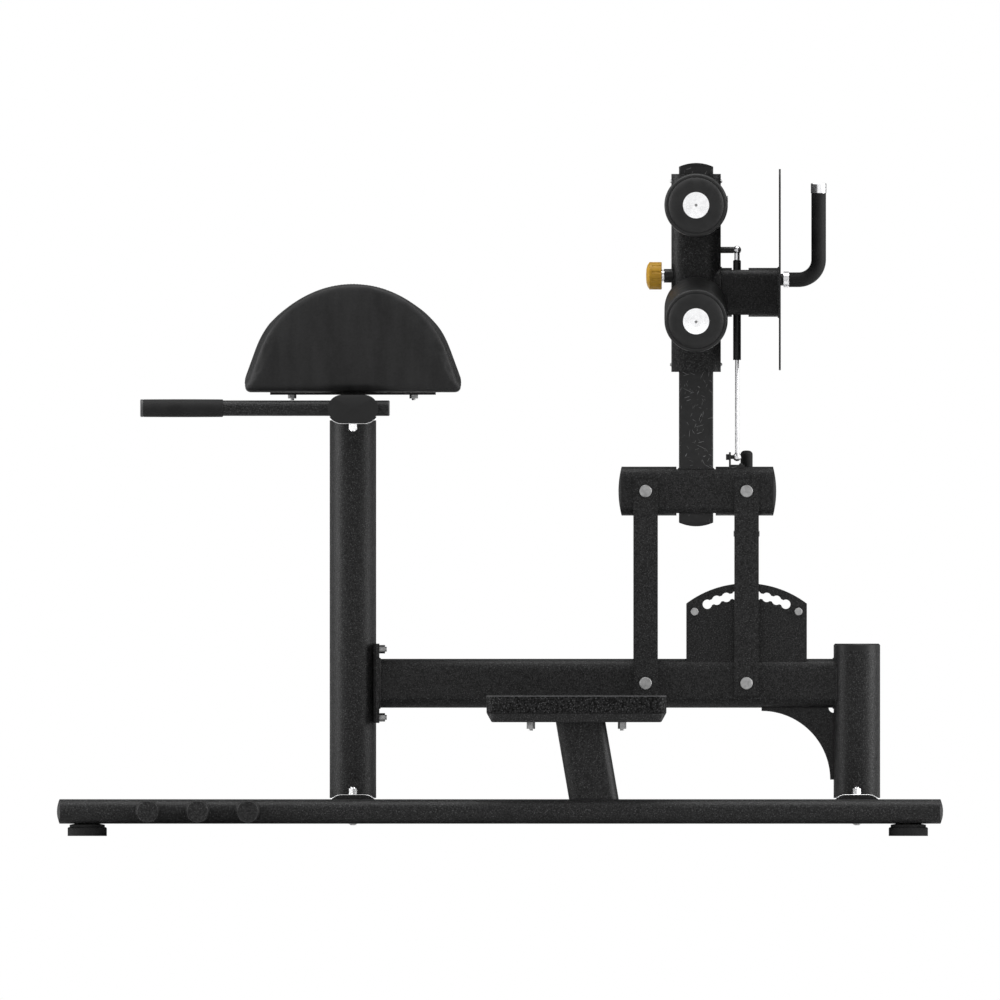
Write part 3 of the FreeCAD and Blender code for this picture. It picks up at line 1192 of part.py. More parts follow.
def roller_line(level, sign):
    """Where a roller's inner end is, and the direction that its axle points out."""
    lower = level == "lower"
    droop = math.radians(size("roller_droop")) if lower else 0
    height = size("lower_roller_inner_level") if lower else size("upper_roller_level")
    start = Vector(size("pivot_middle"), sign * size("roller_inner_face"), height)
    return start, Vector(0, sign * math.cos(droop), -math.sin(droop))


def make_rollers(sleeve):
    """Four foam rollers on plastic cores, their stub axles on the sleeve, and the end washers."""
    axles, washers = [], []
    length, gap = size("roller_length"), size("washer_gap")
    for level in ("upper", "lower"):
        for side, sign in SIDES:
            name = "%s_%s" % (level, side)
            start, out = roller_line(level, sign)
            stub = cylinder("axle_%s_bar" % name, "axle_dia", "roller_length + washer_gap + axle_root",
                            start - out * size("axle_root"), out)
            axles.append(cut("axle_" + name, stub, [sleeve]))
            washers.append(roller_washer(name, start + out * (length + gap), out))
            foam = cylinder("foam_%s_blank" % name, "roller_dia", "roller_length", start, out)
            soft = rounded("foam_%s_soft" % name, foam, "roller_round",
                           lambda edge: edge.Length > 3 * size("roller_dia"))
            core = cylinder("core_%s_bar" % name, "core_dia", "roller_length", start, out)
            bore = cylinder("core_%s_bore" % name, "axle_dia + 2 * running_gap", "roller_length", start,
                            out)
            keep("roller_" + name, group("roller_" + name, [cut("foam_" + name, soft, [core]),
                                                            cut("core_" + name, core, [bore])]))
    keep("roller_axles", group("roller_axles", axles))
    keep("roller_washers", group("roller_washers", washers))


def roller_washer(name, place, out):
    """A coned end washer with a small disc and a socket in its middle."""
    profile = [("hub_socket_dia / 2", "0"), ("washer_dia / 2", "0"), ("washer_dia / 2", "washer_thick / 3"),
               ("hub_disc_dia / 2", "washer_thick"), ("hub_disc_dia / 2", "washer_thick + hub_disc_thick"),
               ("hub_socket_dia / 2", "washer_thick + hub_disc_thick")]
    return turned("washer_" + name, profile, place, out)


# Pop pin -----------------------------------------------------------------------------------------

def make_pop_pin(sleeve):
    """Spring-loaded pin that locks the carriage, its barrel on the sleeve and its fluted knob."""
    level = size("pop_pin_level")
    barrel_start = Vector(size("barrel_start"), 0, level)
    barrel = cylinder("barrel_bar", "barrel_dia", "pivot_middle - barrel_start", barrel_start, X_AXIS)
    bore = cylinder("barrel_bore", "plunger_dia + 2 * running_gap", "pivot_middle - barrel_start",
                    barrel_start, X_AXIS)
    mouth = cylinder("barrel_mouth", "pop_shank_dia + 2 * hole_gap", "pop_mouth_depth", barrel_start,
                     X_AXIS)
    keep("pop_pin_barrel", cut("pop_pin_barrel", barrel, [sleeve, bore, mouth]))

    start, end = size("knob_start"), size("knob_end")
    root = Vector(start + size("knob_dome"), 0, level)
    plunger = cylinder("plunger_bar", "plunger_dia", "plunger_tip - knob_start - knob_dome", root, X_AXIS)
    collar = cylinder("plunger_collar", "pop_shank_dia", "barrel_start + hole_gap - knob_end",
                      Vector(end, 0, level), X_AXIS)
    tip = Vector(size("plunger_tip"), 0, level)
    whole = fuse("plunger_whole", [plunger, collar])
    keep("pop_pin_plunger", rounded("pop_pin_plunger", whole, "plunger_round", in_plane(tip, X_AXIS)))

    dome_inset = "knob_dia / 2 - knob_dome"
    profile = [("0", "-knob_dome"), ("knob_dia / 4", "-knob_dome * 0.9"), (dome_inset, "-knob_dome / 2"),
               ("knob_dia / 2", "knob_dome / 6"), ("knob_dia / 2", "knob_end - knob_start - 1"),
               ("knob_dia / 2 - 1", "knob_end - knob_start"), ("0", "knob_end - knob_start")]
    blank = turned("knob_blank", profile, Vector(start, 0, level), X_AXIS)
    flutes = []
    for index in range(int(size("knob_flutes"))):
        angle = 2 * math.pi * (index + 0.5) / size("knob_flutes")
        reach = (size("knob_dia") + size("flute_dia") * 0.7) / 2
        spot = root + Vector(0, math.cos(angle), math.sin(angle)) * reach
        flutes.append(cylinder("flute_%d" % index, "flute_dia", "knob_dia", spot, X_AXIS))
    keep("pop_pin_knob", cut("pop_pin_knob", blank, [plunger] + flutes))


# The whole machine -------------------------------------------------------------------------------

def build():
    fill_sheet()
    rails, caps = make_rails()
    make_feet()
    make_band_pegs(rails)
    saddles, saddle_bolts, foot_level = make_cross_tubes(rails)
    posts, rear_cap = make_posts(foot_level)
    top_saddle, crossbar_bolts, crossbar_caps = make_crossbar()
    make_handlebars()
    hex_bolts = make_pad() + make_lower_beam(posts) + make_steps()
    keep("saddle_plates", group("saddle_plates", saddles + [top_saddle]))
    keep("saddle_bolts", group("saddle_bolts", saddle_bolts + crossbar_bolts))
    keep("frame_end_caps", group("frame_end_caps", caps + crossbar_caps + [rear_cap]))
    keep("hex_bolts", group("hex_bolts", hex_bolts))
    make_pivots("lower", size("lower_beam_level"))
    make_notch_plates()
    make_links()
    make_latch()
    make_upper_frame()
    make_pivots("upper", upper_level())
    eye_bolt = make_spring_bracket()
    sleeve = make_sleeve()
    make_gas_spring(eye_bolt, sleeve)
    make_footplate(sleeve)
    make_foot_handle()
    make_rollers(sleeve)
    make_pop_pin(sleeve)
    doc.recompute()


def check_and_export():
    """Stop on any failed feature or bad shape, else write one STEP file for each sub-part."""
    for thing in doc.Objects:
        if "Invalid" in thing.State or "Error" in thing.State:
            raise RuntimeError("feature failed: %s %s" % (thing.Label, thing.State))
    for label, thing in nodes.items():
        if thing.Shape.isNull() or not thing.Shape.isValid() or not thing.Shape.Solids:
            raise RuntimeError("bad shape: " + label)
    os.makedirs("parts", exist_ok=True)
    for label, thing in nodes.items():
        thing.Shape.exportStep("parts/%s.step" % label)
    print(len(nodes), "sub-parts written")


build()
check_and_export()
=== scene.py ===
"""Looks of the roman chair: camera, light, floor, materials and the detailed soft and rubber pieces.

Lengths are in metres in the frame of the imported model: X towards the footplate, Z up, left at negative Y.
"""

import math

import bmesh
import bpy
import numpy as np
from mathutils import Matrix, Vector, noise
from mathutils.bvhtree import BVHTree


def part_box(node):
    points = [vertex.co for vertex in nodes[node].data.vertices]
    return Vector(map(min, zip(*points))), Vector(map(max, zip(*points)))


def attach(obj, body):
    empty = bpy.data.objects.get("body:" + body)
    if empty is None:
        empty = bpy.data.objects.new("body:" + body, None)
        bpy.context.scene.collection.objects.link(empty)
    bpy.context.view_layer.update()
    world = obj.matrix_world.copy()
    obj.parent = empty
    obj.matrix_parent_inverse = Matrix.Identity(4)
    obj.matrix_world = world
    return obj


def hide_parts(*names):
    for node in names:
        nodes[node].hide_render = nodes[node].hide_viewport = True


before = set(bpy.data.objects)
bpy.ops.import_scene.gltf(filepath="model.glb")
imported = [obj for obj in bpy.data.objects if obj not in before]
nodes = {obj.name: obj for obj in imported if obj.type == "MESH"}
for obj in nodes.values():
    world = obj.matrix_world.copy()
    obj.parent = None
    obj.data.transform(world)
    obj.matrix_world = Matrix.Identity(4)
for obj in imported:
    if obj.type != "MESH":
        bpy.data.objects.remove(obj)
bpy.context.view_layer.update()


# Places that several pieces share -----------------------------------------------------------------

SIDES = (("left", -1), ("right", 1))
FRONT_POST_X = -0.300
REAR_POST_X = 0.728
UPRIGHT_X = 0.400
STEP_SEAM = 0.250


# Stage -------------------------------------------------------------------------------------------

VIEW_SPAN = 2.04
VIEW_DISTANCE = 6.0
VIEW_LEVEL = 0.6854
FLOOR_HALF = 12.0
FLOOR_DROP = 0.0005


def make_camera():
    """A level side view, square on, as the machine is pictured."""
    data = bpy.data.cameras.new("camera")
    data.type = "ORTHO"
    data.ortho_scale = VIEW_SPAN
    data.clip_end = 100
    camera = bpy.data.objects.new("camera", data)
    bpy.context.scene.collection.objects.link(camera)
    camera.location = (0.0, -VIEW_DISTANCE, VIEW_LEVEL)
    camera.rotation_euler = (math.radians(90), 0, 0)
    bpy.context.scene.camera = camera


def area_light(name, place, target, width, height, power):
    data = bpy.data.lights.new(name, "AREA")
    data.shape = "RECTANGLE"
    data.size, data.size_y = width, height
    data.energy = power
    lamp = bpy.data.objects.new(name, data)
    bpy.context.scene.collection.objects.link(lamp)
    lamp.location = place
    aim = Vector(target) - Vector(place)
    lamp.rotation_euler = aim.to_track_quat("-Z", "Y").to_euler()
    lamp.visible_camera = False


# The room's light, by depth: 0 is straight to the front, 0.5 the ring of sides and ceiling, 1 the back.
ROOM_STRENGTH = 2.8
ROOM_STOPS = ((0.0, 0.36), (0.10, 0.34), (0.22, 0.20), (0.34, 0.70), (0.42, 1.65), (0.50, 1.45),
              (0.58, 0.20), (1.0, 0.04))


def make_world():
    """White to the camera; for everything else a studio room, brightest in a ring round the sides."""
    world = bpy.data.worlds.new("studio")
    bpy.context.scene.world = world
    world.use_nodes = True
    tree = world.node_tree
    tree.nodes.clear()
    out = tree.nodes.new("ShaderNodeOutputWorld")
    mix = tree.nodes.new("ShaderNodeMixShader")
    seen = tree.nodes.new("ShaderNodeBackground")
    room = tree.nodes.new("ShaderNodeBackground")
    path = tree.nodes.new("ShaderNodeLightPath")
    coords = tree.nodes.new("ShaderNodeTexCoord")
    split = tree.nodes.new("ShaderNodeSeparateXYZ")
    depth = tree.nodes.new("ShaderNodeMapRange")
    ramp = tree.nodes.new("ShaderNodeValToRGB")
    seen.inputs["Color"].default_value = (1, 1, 1, 1)
    seen.inputs["Strength"].default_value = 1.0
    room.inputs["Strength"].default_value = ROOM_STRENGTH
    depth.inputs["From Min"].default_value = -1.0
    stops = ramp.color_ramp.elements
    while len(stops) < len(ROOM_STOPS):
        stops.new(0.5)
    for stop, (place, level) in zip(stops, ROOM_STOPS):
        stop.position = place
        stop.color = (level, level, level, 1)
    link = tree.links.new
    link(coords.outputs["Generated"], split.inputs[0])
    link(split.outputs["Y"], depth.inputs["Value"])
    link(depth.outputs[0], ramp.inputs["Fac"])
    link(ramp.outputs["Color"], room.inputs["Color"])
    link(path.outputs["Is Camera Ray"], mix.inputs["Fac"])
    link(room.outputs[0], mix.inputs[1])
    link(seen.outputs[0], mix.inputs[2])
    link(mix.outputs[0], out.inputs["Surface"])


def make_floor():
    mesh = bpy.data.meshes.new("floor")
    half = FLOOR_HALF
    corners = [(-half, -half, 0), (half, -half, 0), (half, half, 0), (-half, half, 0)]
    mesh.from_pydata(corners, [], [(0, 1, 2, 3)])
    floor = bpy.data.objects.new("floor", mesh)
    bpy.context.scene.collection.objects.link(floor)
    floor.location.z = -FLOOR_DROP
    mesh.materials.append(plain("floor_white", (0.6, 0.6, 0.6), 0.7)[0])


# Materials ---------------------------------------------------------------------------------------


def plain(name, colour, roughness, metallic=0.0, **uniform):
    """A Principled material with uniform values; returns it with its tree and shader."""
    mat = bpy.data.materials.new(name)
    mat.use_nodes = True
    tree = mat.node_tree
    shader = tree.nodes["Principled BSDF"]
    shader.inputs["Base Color"].default_value = (*colour, 1)
    shader.inputs["Roughness"].default_value = roughness
    shader.inputs["Metallic"].default_value = metallic
    for socket, value in uniform.items():
        shader.inputs[socket.replace("_", " ")].default_value = value
    return mat, tree, shader


def object_coords(tree, stretch=(1, 1, 1), lean=0.0):
    """The piece's own coordinates, which are the model's, turned about Y by lean and scaled per axis."""
    coords = tree.nodes.new("ShaderNodeTexCoord")
    if stretch == (1, 1, 1):
        return coords.outputs["Object"]
    scaled = tree.nodes.new("ShaderNodeMapping")
    scaled.vector_type = "TEXTURE"
    scaled.inputs["Rotation"].default_value = (0, lean, 0)
    scaled.inputs["Scale"].default_value = tuple(1 / factor for factor in stretch)
    tree.links.new(coords.outputs["Object"], scaled.inputs["Vector"])
    return scaled.outputs["Vector"]


def noise_of(tree, scale, detail=2.0, rough=0.5, stretch=(1, 1, 1), lean=0.0):
    tex = tree.nodes.new("ShaderNodeTexNoise")
    tex.inputs["Scale"].default_value = scale
    tex.inputs["Detail"].default_value = detail
    tex.inputs["Roughness"].default_value = rough
    tree.links.new(object_coords(tree, stretch, lean), tex.inputs["Vector"])
    return tex.outputs["Fac"]


def cells_of(tree, scale):
    """How far each spot is from the middle of its cell."""
    tex = tree.nodes.new("ShaderNodeTexVoronoi")
    tex.inputs["Scale"].default_value = scale
    tree.links.new(object_coords(tree), tex.inputs["Vector"])
    return tex.outputs["Distance"]


def height_of(tree):
    """Each spot's height above the floor."""
    split = tree.nodes.new("ShaderNodeSeparateXYZ")
    tree.links.new(object_coords(tree), split.inputs[0])
    return split.outputs["Z"]


def spread(tree, value, low, high, to_low, to_high):
    """Map a value's range to another, held at its ends."""
    node = tree.nodes.new("ShaderNodeMapRange")
    for socket, number in zip(("From Min", "From Max", "To Min", "To Max"), (low, high, to_low, to_high)):
        node.inputs[socket].default_value = number
    tree.links.new(value, node.inputs["Value"])
    return node.outputs["Result"]


def shade(tree, value, low, high, first, second):
    """A colour that runs from first to second as value runs from low to high."""
    ramp = tree.nodes.new("ShaderNodeValToRGB")
    ramp.color_ramp.elements[0].position = low
    ramp.color_ramp.elements[0].color = (*first, 1)
    ramp.color_ramp.elements[1].position = high
    ramp.color_ramp.elements[1].color = (*second, 1)
    tree.links.new(value, ramp.inputs["Fac"])
    return ramp.outputs["Color"]


def combine(tree, operation, first, second):
    node = tree.nodes.new("ShaderNodeMath")
    node.operation = operation
    for index, value in enumerate((first, second)):
        if isinstance(value, (int, float)):
            node.inputs[index].default_value = value
        else:
            tree.links.new(value, node.inputs[index])
    return node.outputs[0]


def weighted(tree, first, first_share, second, second_share):
    """The sum of two values, each times its share."""
    return combine(tree, "ADD", combine(tree, "MULTIPLY", first, first_share),
                   combine(tree, "MULTIPLY", second, second_share))


def mix_colours(tree, factor, first, second):
    """A colour between first and second, either of which may be a tuple or another node's output."""
    node = tree.nodes.new("ShaderNodeMix")
    node.data_type = "RGBA"
    colours = [s for s in node.inputs if s.type == "RGBA"]
    tree.links.new(factor, node.inputs[0])
    for socket, value in zip(colours, (first, second)):
        if isinstance(value, tuple):
            socket.default_value = (*value, 1)
        else:
            tree.links.new(value, socket)
    return next(s for s in node.outputs if s.type == "RGBA")


def add_bump(tree, shader, height, strength, distance):
    bump = tree.nodes.new("ShaderNodeBump")
    bump.inputs["Strength"].default_value = strength
    bump.inputs["Distance"].default_value = distance
    tree.links.new(height, bump.inputs["Height"])
    tree.links.new(bump.outputs["Normal"], shader.inputs["Normal"])


def grey(value):
    """A grey with a hint of blue."""
    return (value, value, value * 1.02)


def powder_coat():
    """Fine sand-textured black powder coat: small grains, each a little lighter or darker."""
    mat, tree, shader = plain("powder_coat", grey(0.008), 0.5, Specular_IOR_Level=0.16)
    grain = noise_of(tree, 300, 3.0, 0.62)
    fleck = noise_of(tree, 520, 1.0, 0.5)
    haze = noise_of(tree, 7, 2.0, 0.5)
    tone = shade(tree, grain, 0.40, 0.66, grey(0.0015), grey(0.016))
    bright = spread(tree, fleck, 0.58, 0.72, 0.0, 1.0)
    tree.links.new(mix_colours(tree, bright, tone, grey(0.050)), shader.inputs["Base Color"])
    tree.links.new(spread(tree, haze, 0.3, 0.7, 0.36, 0.46), shader.inputs["Roughness"])
    add_bump(tree, shader, grain, 0.8, 0.0008)
    return mat


# The directions of the fine scratches, in radians from upright.
SCRATCH_LEANS = (-1.1, -0.5, 0.1, 0.45, 1.3)


def satin_black():
    """Smooth satin black with short, fine, light scratches."""
    mat, tree, shader = plain("satin_black", grey(0.010), 0.34, Specular_IOR_Level=0.2)
    scratch = None
    for lean in SCRATCH_LEANS:
        streak = noise_of(tree, 520, 0.0, 0.5, (1.0, 1.0, 0.09), lean)
        mark = spread(tree, streak, 0.788, 0.806, 0.0, 1.0)
        scratch = mark if scratch is None else combine(tree, "MAXIMUM", scratch, mark)
    base = shade(tree, noise_of(tree, 60, 3.0), 0.3, 0.7, grey(0.009), grey(0.013))
    tree.links.new(mix_colours(tree, scratch, base, grey(0.11)), shader.inputs["Base Color"])
    tree.links.new(spread(tree, noise_of(tree, 90, 2.0), 0.3, 0.7, 0.3, 0.4), shader.inputs["Roughness"])
    add_bump(tree, shader, scratch, -0.15, 0.0002)
    return mat


NECK_LEVEL = 1.1752
NECK_BLEND = 0.0006


def gas_spring_black():
    """Gloss black cylinder with a bright neck and ball joint on top."""
    mat, tree, shader = plain("gas_spring_black", grey(0.009), 0.3, Specular_IOR_Level=0.2)
    above = spread(tree, height_of(tree), NECK_LEVEL, NECK_LEVEL + NECK_BLEND, 0.0, 1.0)
    mist = shade(tree, noise_of(tree, 90, 3.0), 0.3, 0.7, grey(0.007), grey(0.012))
    tree.links.new(mix_colours(tree, above, mist, grey(0.8)), shader.inputs["Base Color"])
    tree.links.new(above, shader.inputs["Metallic"])
    return mat


def moulded(name, tone):
    """Matte moulded plastic, for caps and plugs."""
    mat, tree, shader = plain(name, grey(tone), 0.45, Specular_IOR_Level=0.2)
    skin = noise_of(tree, 1400, 1.0)
    colour = shade(tree, skin, 0.3, 0.7, grey(0.75 * tone), grey(1.25 * tone))
    tree.links.new(colour, shader.inputs["Base Color"])
    add_bump(tree, shader, skin, 0.15, 0.0002)
    return mat


def black_rubber():
    """Dull rubber with a dusty tone."""
    mat, tree, shader = plain("black_rubber", grey(0.008), 0.6, Specular_IOR_Level=0.16)
    dust = noise_of(tree, 28, 4.0, 0.6)
    pores = noise_of(tree, 1100, 1.0)
    tree.links.new(shade(tree, dust, 0.35, 0.75, grey(0.006), grey(0.013)), shader.inputs["Base Color"])
    tree.links.new(spread(tree, dust, 0.3, 0.7, 0.62, 0.78), shader.inputs["Roughness"])
    add_bump(tree, shader, pores, 0.2, 0.0003)
    return mat


def vinyl():
    """Dark upholstery vinyl: pebble grain, with soft streaks that run up and down."""
    mat, tree, shader = plain("vinyl", grey(0.011), 0.5, Specular_IOR_Level=0.18)
    streaks = noise_of(tree, 30, 3.0, 0.55, (1.0, 1.0, 0.22))
    mottle = noise_of(tree, 240, 2.0)
    tone = weighted(tree, streaks, 0.7, mottle, 0.3)
    tree.links.new(shade(tree, tone, 0.38, 0.62, grey(0.007), grey(0.013)), shader.inputs["Base Color"])
    tree.links.new(spread(tree, streaks, 0.3, 0.7, 0.44, 0.56), shader.inputs["Roughness"])
    add_bump(tree, shader, weighted(tree, cells_of(tree, 620), 0.6, mottle, 0.5), 0.22, 0.0005)
    return mat


def roller_skin():
    """Moulded foam skin of the ankle rollers: smooth, closed and slightly dimpled."""
    mat, tree, shader = plain("roller_skin", grey(0.009), 0.34, Specular_IOR_Level=0.24)
    dimple = noise_of(tree, 55, 2.0)
    pores = cells_of(tree, 1500)
    tree.links.new(shade(tree, dimple, 0.3, 0.7, grey(0.006), grey(0.010)), shader.inputs["Base Color"])
    tree.links.new(spread(tree, dimple, 0.3, 0.7, 0.38, 0.48), shader.inputs["Roughness"])
    add_bump(tree, shader, weighted(tree, pores, 0.25, dimple, 0.75), 0.12, 0.0006)
    return mat


def metal(name, colour, roughness, grain, stretch=(1, 1, 1), shadow=0.72):
    """Bare or plated metal, its gloss broken by fine marks and its colour down to shadow in clouds."""
    mat, tree, shader = plain(name, colour, roughness, 1.0)
    marks = noise_of(tree, grain, 2.0, 0.5, stretch)
    cloud = noise_of(tree, 120, 2.0)
    darker = tuple(shadow * channel for channel in colour)
    tree.links.new(shade(tree, cloud, 0.3, 0.65, darker, colour), shader.inputs["Base Color"])
    gloss = spread(tree, marks, 0.3, 0.7, roughness * 0.75, roughness * 1.3)
    tree.links.new(gloss, shader.inputs["Roughness"])
    add_bump(tree, shader, marks, 0.1, 0.0001)
    return mat


def amber_plastic():
    """Golden amber knob, nearly even in tone."""
    mat, tree, shader = plain("amber_plastic", (0.34, 0.185, 0.010), 0.45, Specular_IOR_Level=0.25)
    flow = noise_of(tree, 70, 3.0, 0.6)
    tree.links.new(shade(tree, flow, 0.3, 0.7, (0.31, 0.165, 0.009), (0.37, 0.205, 0.012)),
                   shader.inputs["Base Color"])
    add_bump(tree, shader, noise_of(tree, 800, 1.0), 0.1, 0.0002)
    return mat


STEP_TOP = 0.287
SEAM_BLEND = 0.0015


def grip_grit():
    """Non-slip coat of the steps: coarse above the seam, plain below it, with a painted highlight in a band
    just under the top.
    """
    mat, tree, shader = plain("grip_grit", grey(0.006), 0.55, Specular_IOR_Level=0.06)
    height = height_of(tree)
    coarse = spread(tree, height, STEP_SEAM, STEP_SEAM + SEAM_BLEND, 0.0, 1.0)
    # A lighter band just under each step's top: a painted highlight of the top edge.
    painted_highlight_rise = spread(tree, height, STEP_TOP - 0.0030, STEP_TOP - 0.0018, 0.0, 0.7)
    painted_highlight_fall = spread(tree, height, STEP_TOP - 0.0014, STEP_TOP - 0.0006, 1.0, 0.0)
    edge = combine(tree, "MULTIPLY", painted_highlight_rise, painted_highlight_fall)
    grit = noise_of(tree, 210, 2.0, 0.7)
    glint = spread(tree, cells_of(tree, 240), 0.12, 0.34, 1.0, 0.0)
    tone = shade(tree, grit, 0.40, 0.64, grey(0.0004), grey(0.018))
    rough = mix_colours(tree, glint, tone, grey(0.06))
    # Lay the painted edge highlight over the grit.
    with_painted_highlight = mix_colours(tree, edge, rough, grey(0.10))
    tree.links.new(mix_colours(tree, coarse, grey(0.003), with_painted_highlight), shader.inputs["Base Color"])
    add_bump(tree, shader, combine(tree, "MULTIPLY", grit, coarse), 0.8, 0.001)
    return mat


def plywood():
    """Plain plywood with long grain."""
    mat, tree, shader = plain("plywood", (0.42, 0.28, 0.16), 0.7)
    rings = noise_of(tree, 14, 5.0, 0.6, (0.25, 3.0, 12.0), lean=1.5)
    tree.links.new(shade(tree, rings, 0.35, 0.7, (0.30, 0.18, 0.09), (0.52, 0.36, 0.21)),
                   shader.inputs["Base Color"])
    add_bump(tree, shader, rings, 0.2, 0.0003)
    return mat


def paint(mat, *names):
    """Give CAD nodes a material; their meshes stay as they are."""
    for name in names:
        data = nodes[name].data
        data.materials.clear()
        data.materials.append(mat)


# Mesh helpers ------------------------------------------------------------------------------------


def new_piece(name, mesh, mat, body):
    """A smooth-shaded visible piece that rides on a body."""
    piece = bpy.data.objects.new(name, mesh)
    bpy.context.scene.collection.objects.link(piece)
    mesh.materials.clear()
    mesh.materials.append(mat)
    for polygon in mesh.polygons:
        polygon.use_smooth = True
    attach(piece, body)
    return piece


def lathe(name, profile, start, axis, segments=96):
    """A closed profile of (along, radius) points in metres, turned round an axis from start."""
    run = Vector(axis).normalized()
    across = run.orthogonal().normalized()
    side = run.cross(across)
    verts, faces = [], []
    count = len(profile)
    for k in range(segments):
        angle = 2 * math.pi * k / segments
        out = across * math.cos(angle) + side * math.sin(angle)
        for along, radius in profile:
            verts.append(Vector(start) + run * along + out * radius)
    for k in range(segments):
        following = (k + 1) % segments
        for i in range(count):
            j = (i + 1) % count
            faces.append((k * count + i, k * count + j, following * count + j, following * count + i))
    mesh = bpy.data.meshes.new(name)
    mesh.from_pydata(verts, [], faces)
    tidy_normals(mesh)
    return mesh


def tidy_normals(mesh):
    """Turn every face outward."""
    work = bmesh.new()
    work.from_mesh(mesh)
    bmesh.ops.recalc_face_normals(work, faces=work.faces)
    work.to_mesh(mesh)
    work.free()
    mesh.update()


def arc(centre_along, centre_radius, radius, first, last, steps):
    """Profile points on an arc, with angles in degrees from the axis direction."""
    made = []
    for k in range(steps + 1):
        angle = math.radians(first + (last - first) * k / steps)
        made.append((centre_along + radius * math.cos(angle), centre_radius + radius * math.sin(angle)))
    return made


def points_of(mesh):
    """A mesh's vertices as rows of an array."""
    flat = np.zeros(len(mesh.vertices) * 3, np.float32)
    mesh.vertices.foreach_get("co", flat)
    return flat.reshape(-1, 3).astype(float)


def normals_of(mesh):
    """A mesh's vertex normals as rows of an array."""
    flat = np.zeros(len(mesh.vertices) * 3, np.float32)
    mesh.vertex_normals.foreach_get("vector", flat)
    return flat.reshape(-1, 3).astype(float)


def set_points(mesh, points):
    mesh.vertices.foreach_set("co", points.astype(np.float32).ravel())
    mesh.update()


def noise_at(points, scale):
    """Smooth noise from about -1 to 1 at each point."""
    return np.array([noise.noise(Vector(p)) for p in points * np.array(scale)])


# Hip pad -----------------------------------------------------------------------------------------


def remeshed_copy(source, name, voxel):
    """A new mesh object with the source's outer shape, in even voxels."""
    mesh = source.data.copy()
    mesh.name = name
    piece = bpy.data.objects.new(name, mesh)
    bpy.context.scene.collection.objects.link(piece)
    change = piece.modifiers.new("remesh", "REMESH")
    change.mode = "VOXEL"
    change.voxel_size = voxel
    apply_modifiers(piece)
    return piece


def apply_modifiers(piece):
    """Replace the mesh by what its modifiers make, and drop them."""
    graph = bpy.context.evaluated_depsgraph_get()
    made = bpy.data.meshes.new_from_object(piece.evaluated_get(graph))
    old = piece.data
    piece.modifiers.clear()
    piece.data = made
    bpy.data.meshes.remove(old)


PAD_LOW = 0.905
PAD_END = 0.270
PAD_CENTRE_Z = 0.922
PAD_VOXEL = 0.005
PAD_HELD = PAD_LOW + 0.004
PAD_SHRINK = 0.0008
PAD_CAP = 0.0035
PAD_RIPPLE = 0.0007
CLOTH_FRAMES = 20
SEAM_INSET = 0.017
SEAM_DEPTH = 0.0016
SEAM_SPREAD = 0.0024
STITCH_PITCH = 0.0062
STITCH_INSET = 0.0045
STITCH_SIZE = (0.0021, 0.00055, 0.00045)
STITCH_RAYS = 1440


def swell(piece, cap, held_below):
    """Fill the pad like a cushion: cloth with pressure, its movement capped, its underside held."""
    start = points_of(piece.data)
    held = piece.vertex_groups.new(name="held")
    held.add([int(i) for i in np.nonzero(start[:, 2] < held_below)[0]], 1.0, "REPLACE")
    cloth = piece.modifiers.new("cloth", "CLOTH")
    settings = cloth.settings
    settings.quality = 4
    settings.use_pressure = True
    settings.uniform_pressure_force = 4.0
    settings.effector_weights.gravity = 0.0
    settings.vertex_group_mass = "held"
    settings.tension_stiffness = 25
    settings.compression_stiffness = 25
    settings.bending_stiffness = 2.0
    cloth.collision_settings.use_collision = False
    cloth.collision_settings.use_self_collision = False
    cloth.point_cache.frame_start = 1
    cloth.point_cache.frame_end = CLOTH_FRAMES
    for step in range(1, CLOTH_FRAMES + 1):
        bpy.context.scene.frame_set(step)
    apply_modifiers(piece)
    bpy.context.scene.frame_set(1)
    move = points_of(piece.data) - start
    length = np.maximum(np.linalg.norm(move, axis=1), 1e-9)
    set_points(piece.data, start + move * np.minimum(1.0, cap / length)[:, None])


def smooth(piece, rounds, factor):
    change = piece.modifiers.new("smooth", "SMOOTH")
    change.iterations = rounds
    change.factor = factor
    apply_modifiers(piece)


def make_hip_pad(mat, thread):
    """The pad's cover: swollen from a slightly smaller copy, then smoothed, seamed and stitched."""
    pad = remeshed_copy(nodes["hip_pad"], "hip_pad_cover", PAD_VOXEL)
    points = points_of(pad.data)
    free = points[:, 2] > PAD_HELD
    points[free] -= normals_of(pad.data)[free] * PAD_SHRINK
    set_points(pad.data, points)
    swell(pad, PAD_CAP, PAD_HELD)
    smooth(pad, 3, 0.5)
    finer = pad.modifiers.new("finer", "SUBSURF")
    finer.levels = 1
    finer.render_levels = 1
    apply_modifiers(pad)
    press_seams(pad)
    pad.data.materials.clear()
    pad.data.materials.append(mat)
    for polygon in pad.data.polygons:
        polygon.use_smooth = True
    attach(pad, "base")
    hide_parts("hip_pad")
    make_stitches(pad, thread)


def press_seams(pad):
    """Draw the cover in along the seam near each end, and let it ripple a little everywhere."""
    seam = PAD_END - SEAM_INSET
    points, normals = points_of(pad.data), normals_of(pad.data)
    inward = np.array([FRONT_POST_X, 0, PAD_CENTRE_Z]) - points * np.array([1, 0, 1])
    inward /= np.linalg.norm(inward, axis=1)[:, None]
    off = np.abs(np.abs(points[:, 1]) - seam)
    press = SEAM_DEPTH * np.exp(-(off / SEAM_SPREAD) ** 2) * (off < 4 * SEAM_SPREAD)
    ripple = noise_at(points, (9, 5, 9)) * PAD_RIPPLE
    moved = points + inward * press[:, None] + normals * ripple[:, None]
    free = points[:, 2] > PAD_LOW + 0.006
    points[free] = moved[free]
    set_points(pad.data, points)


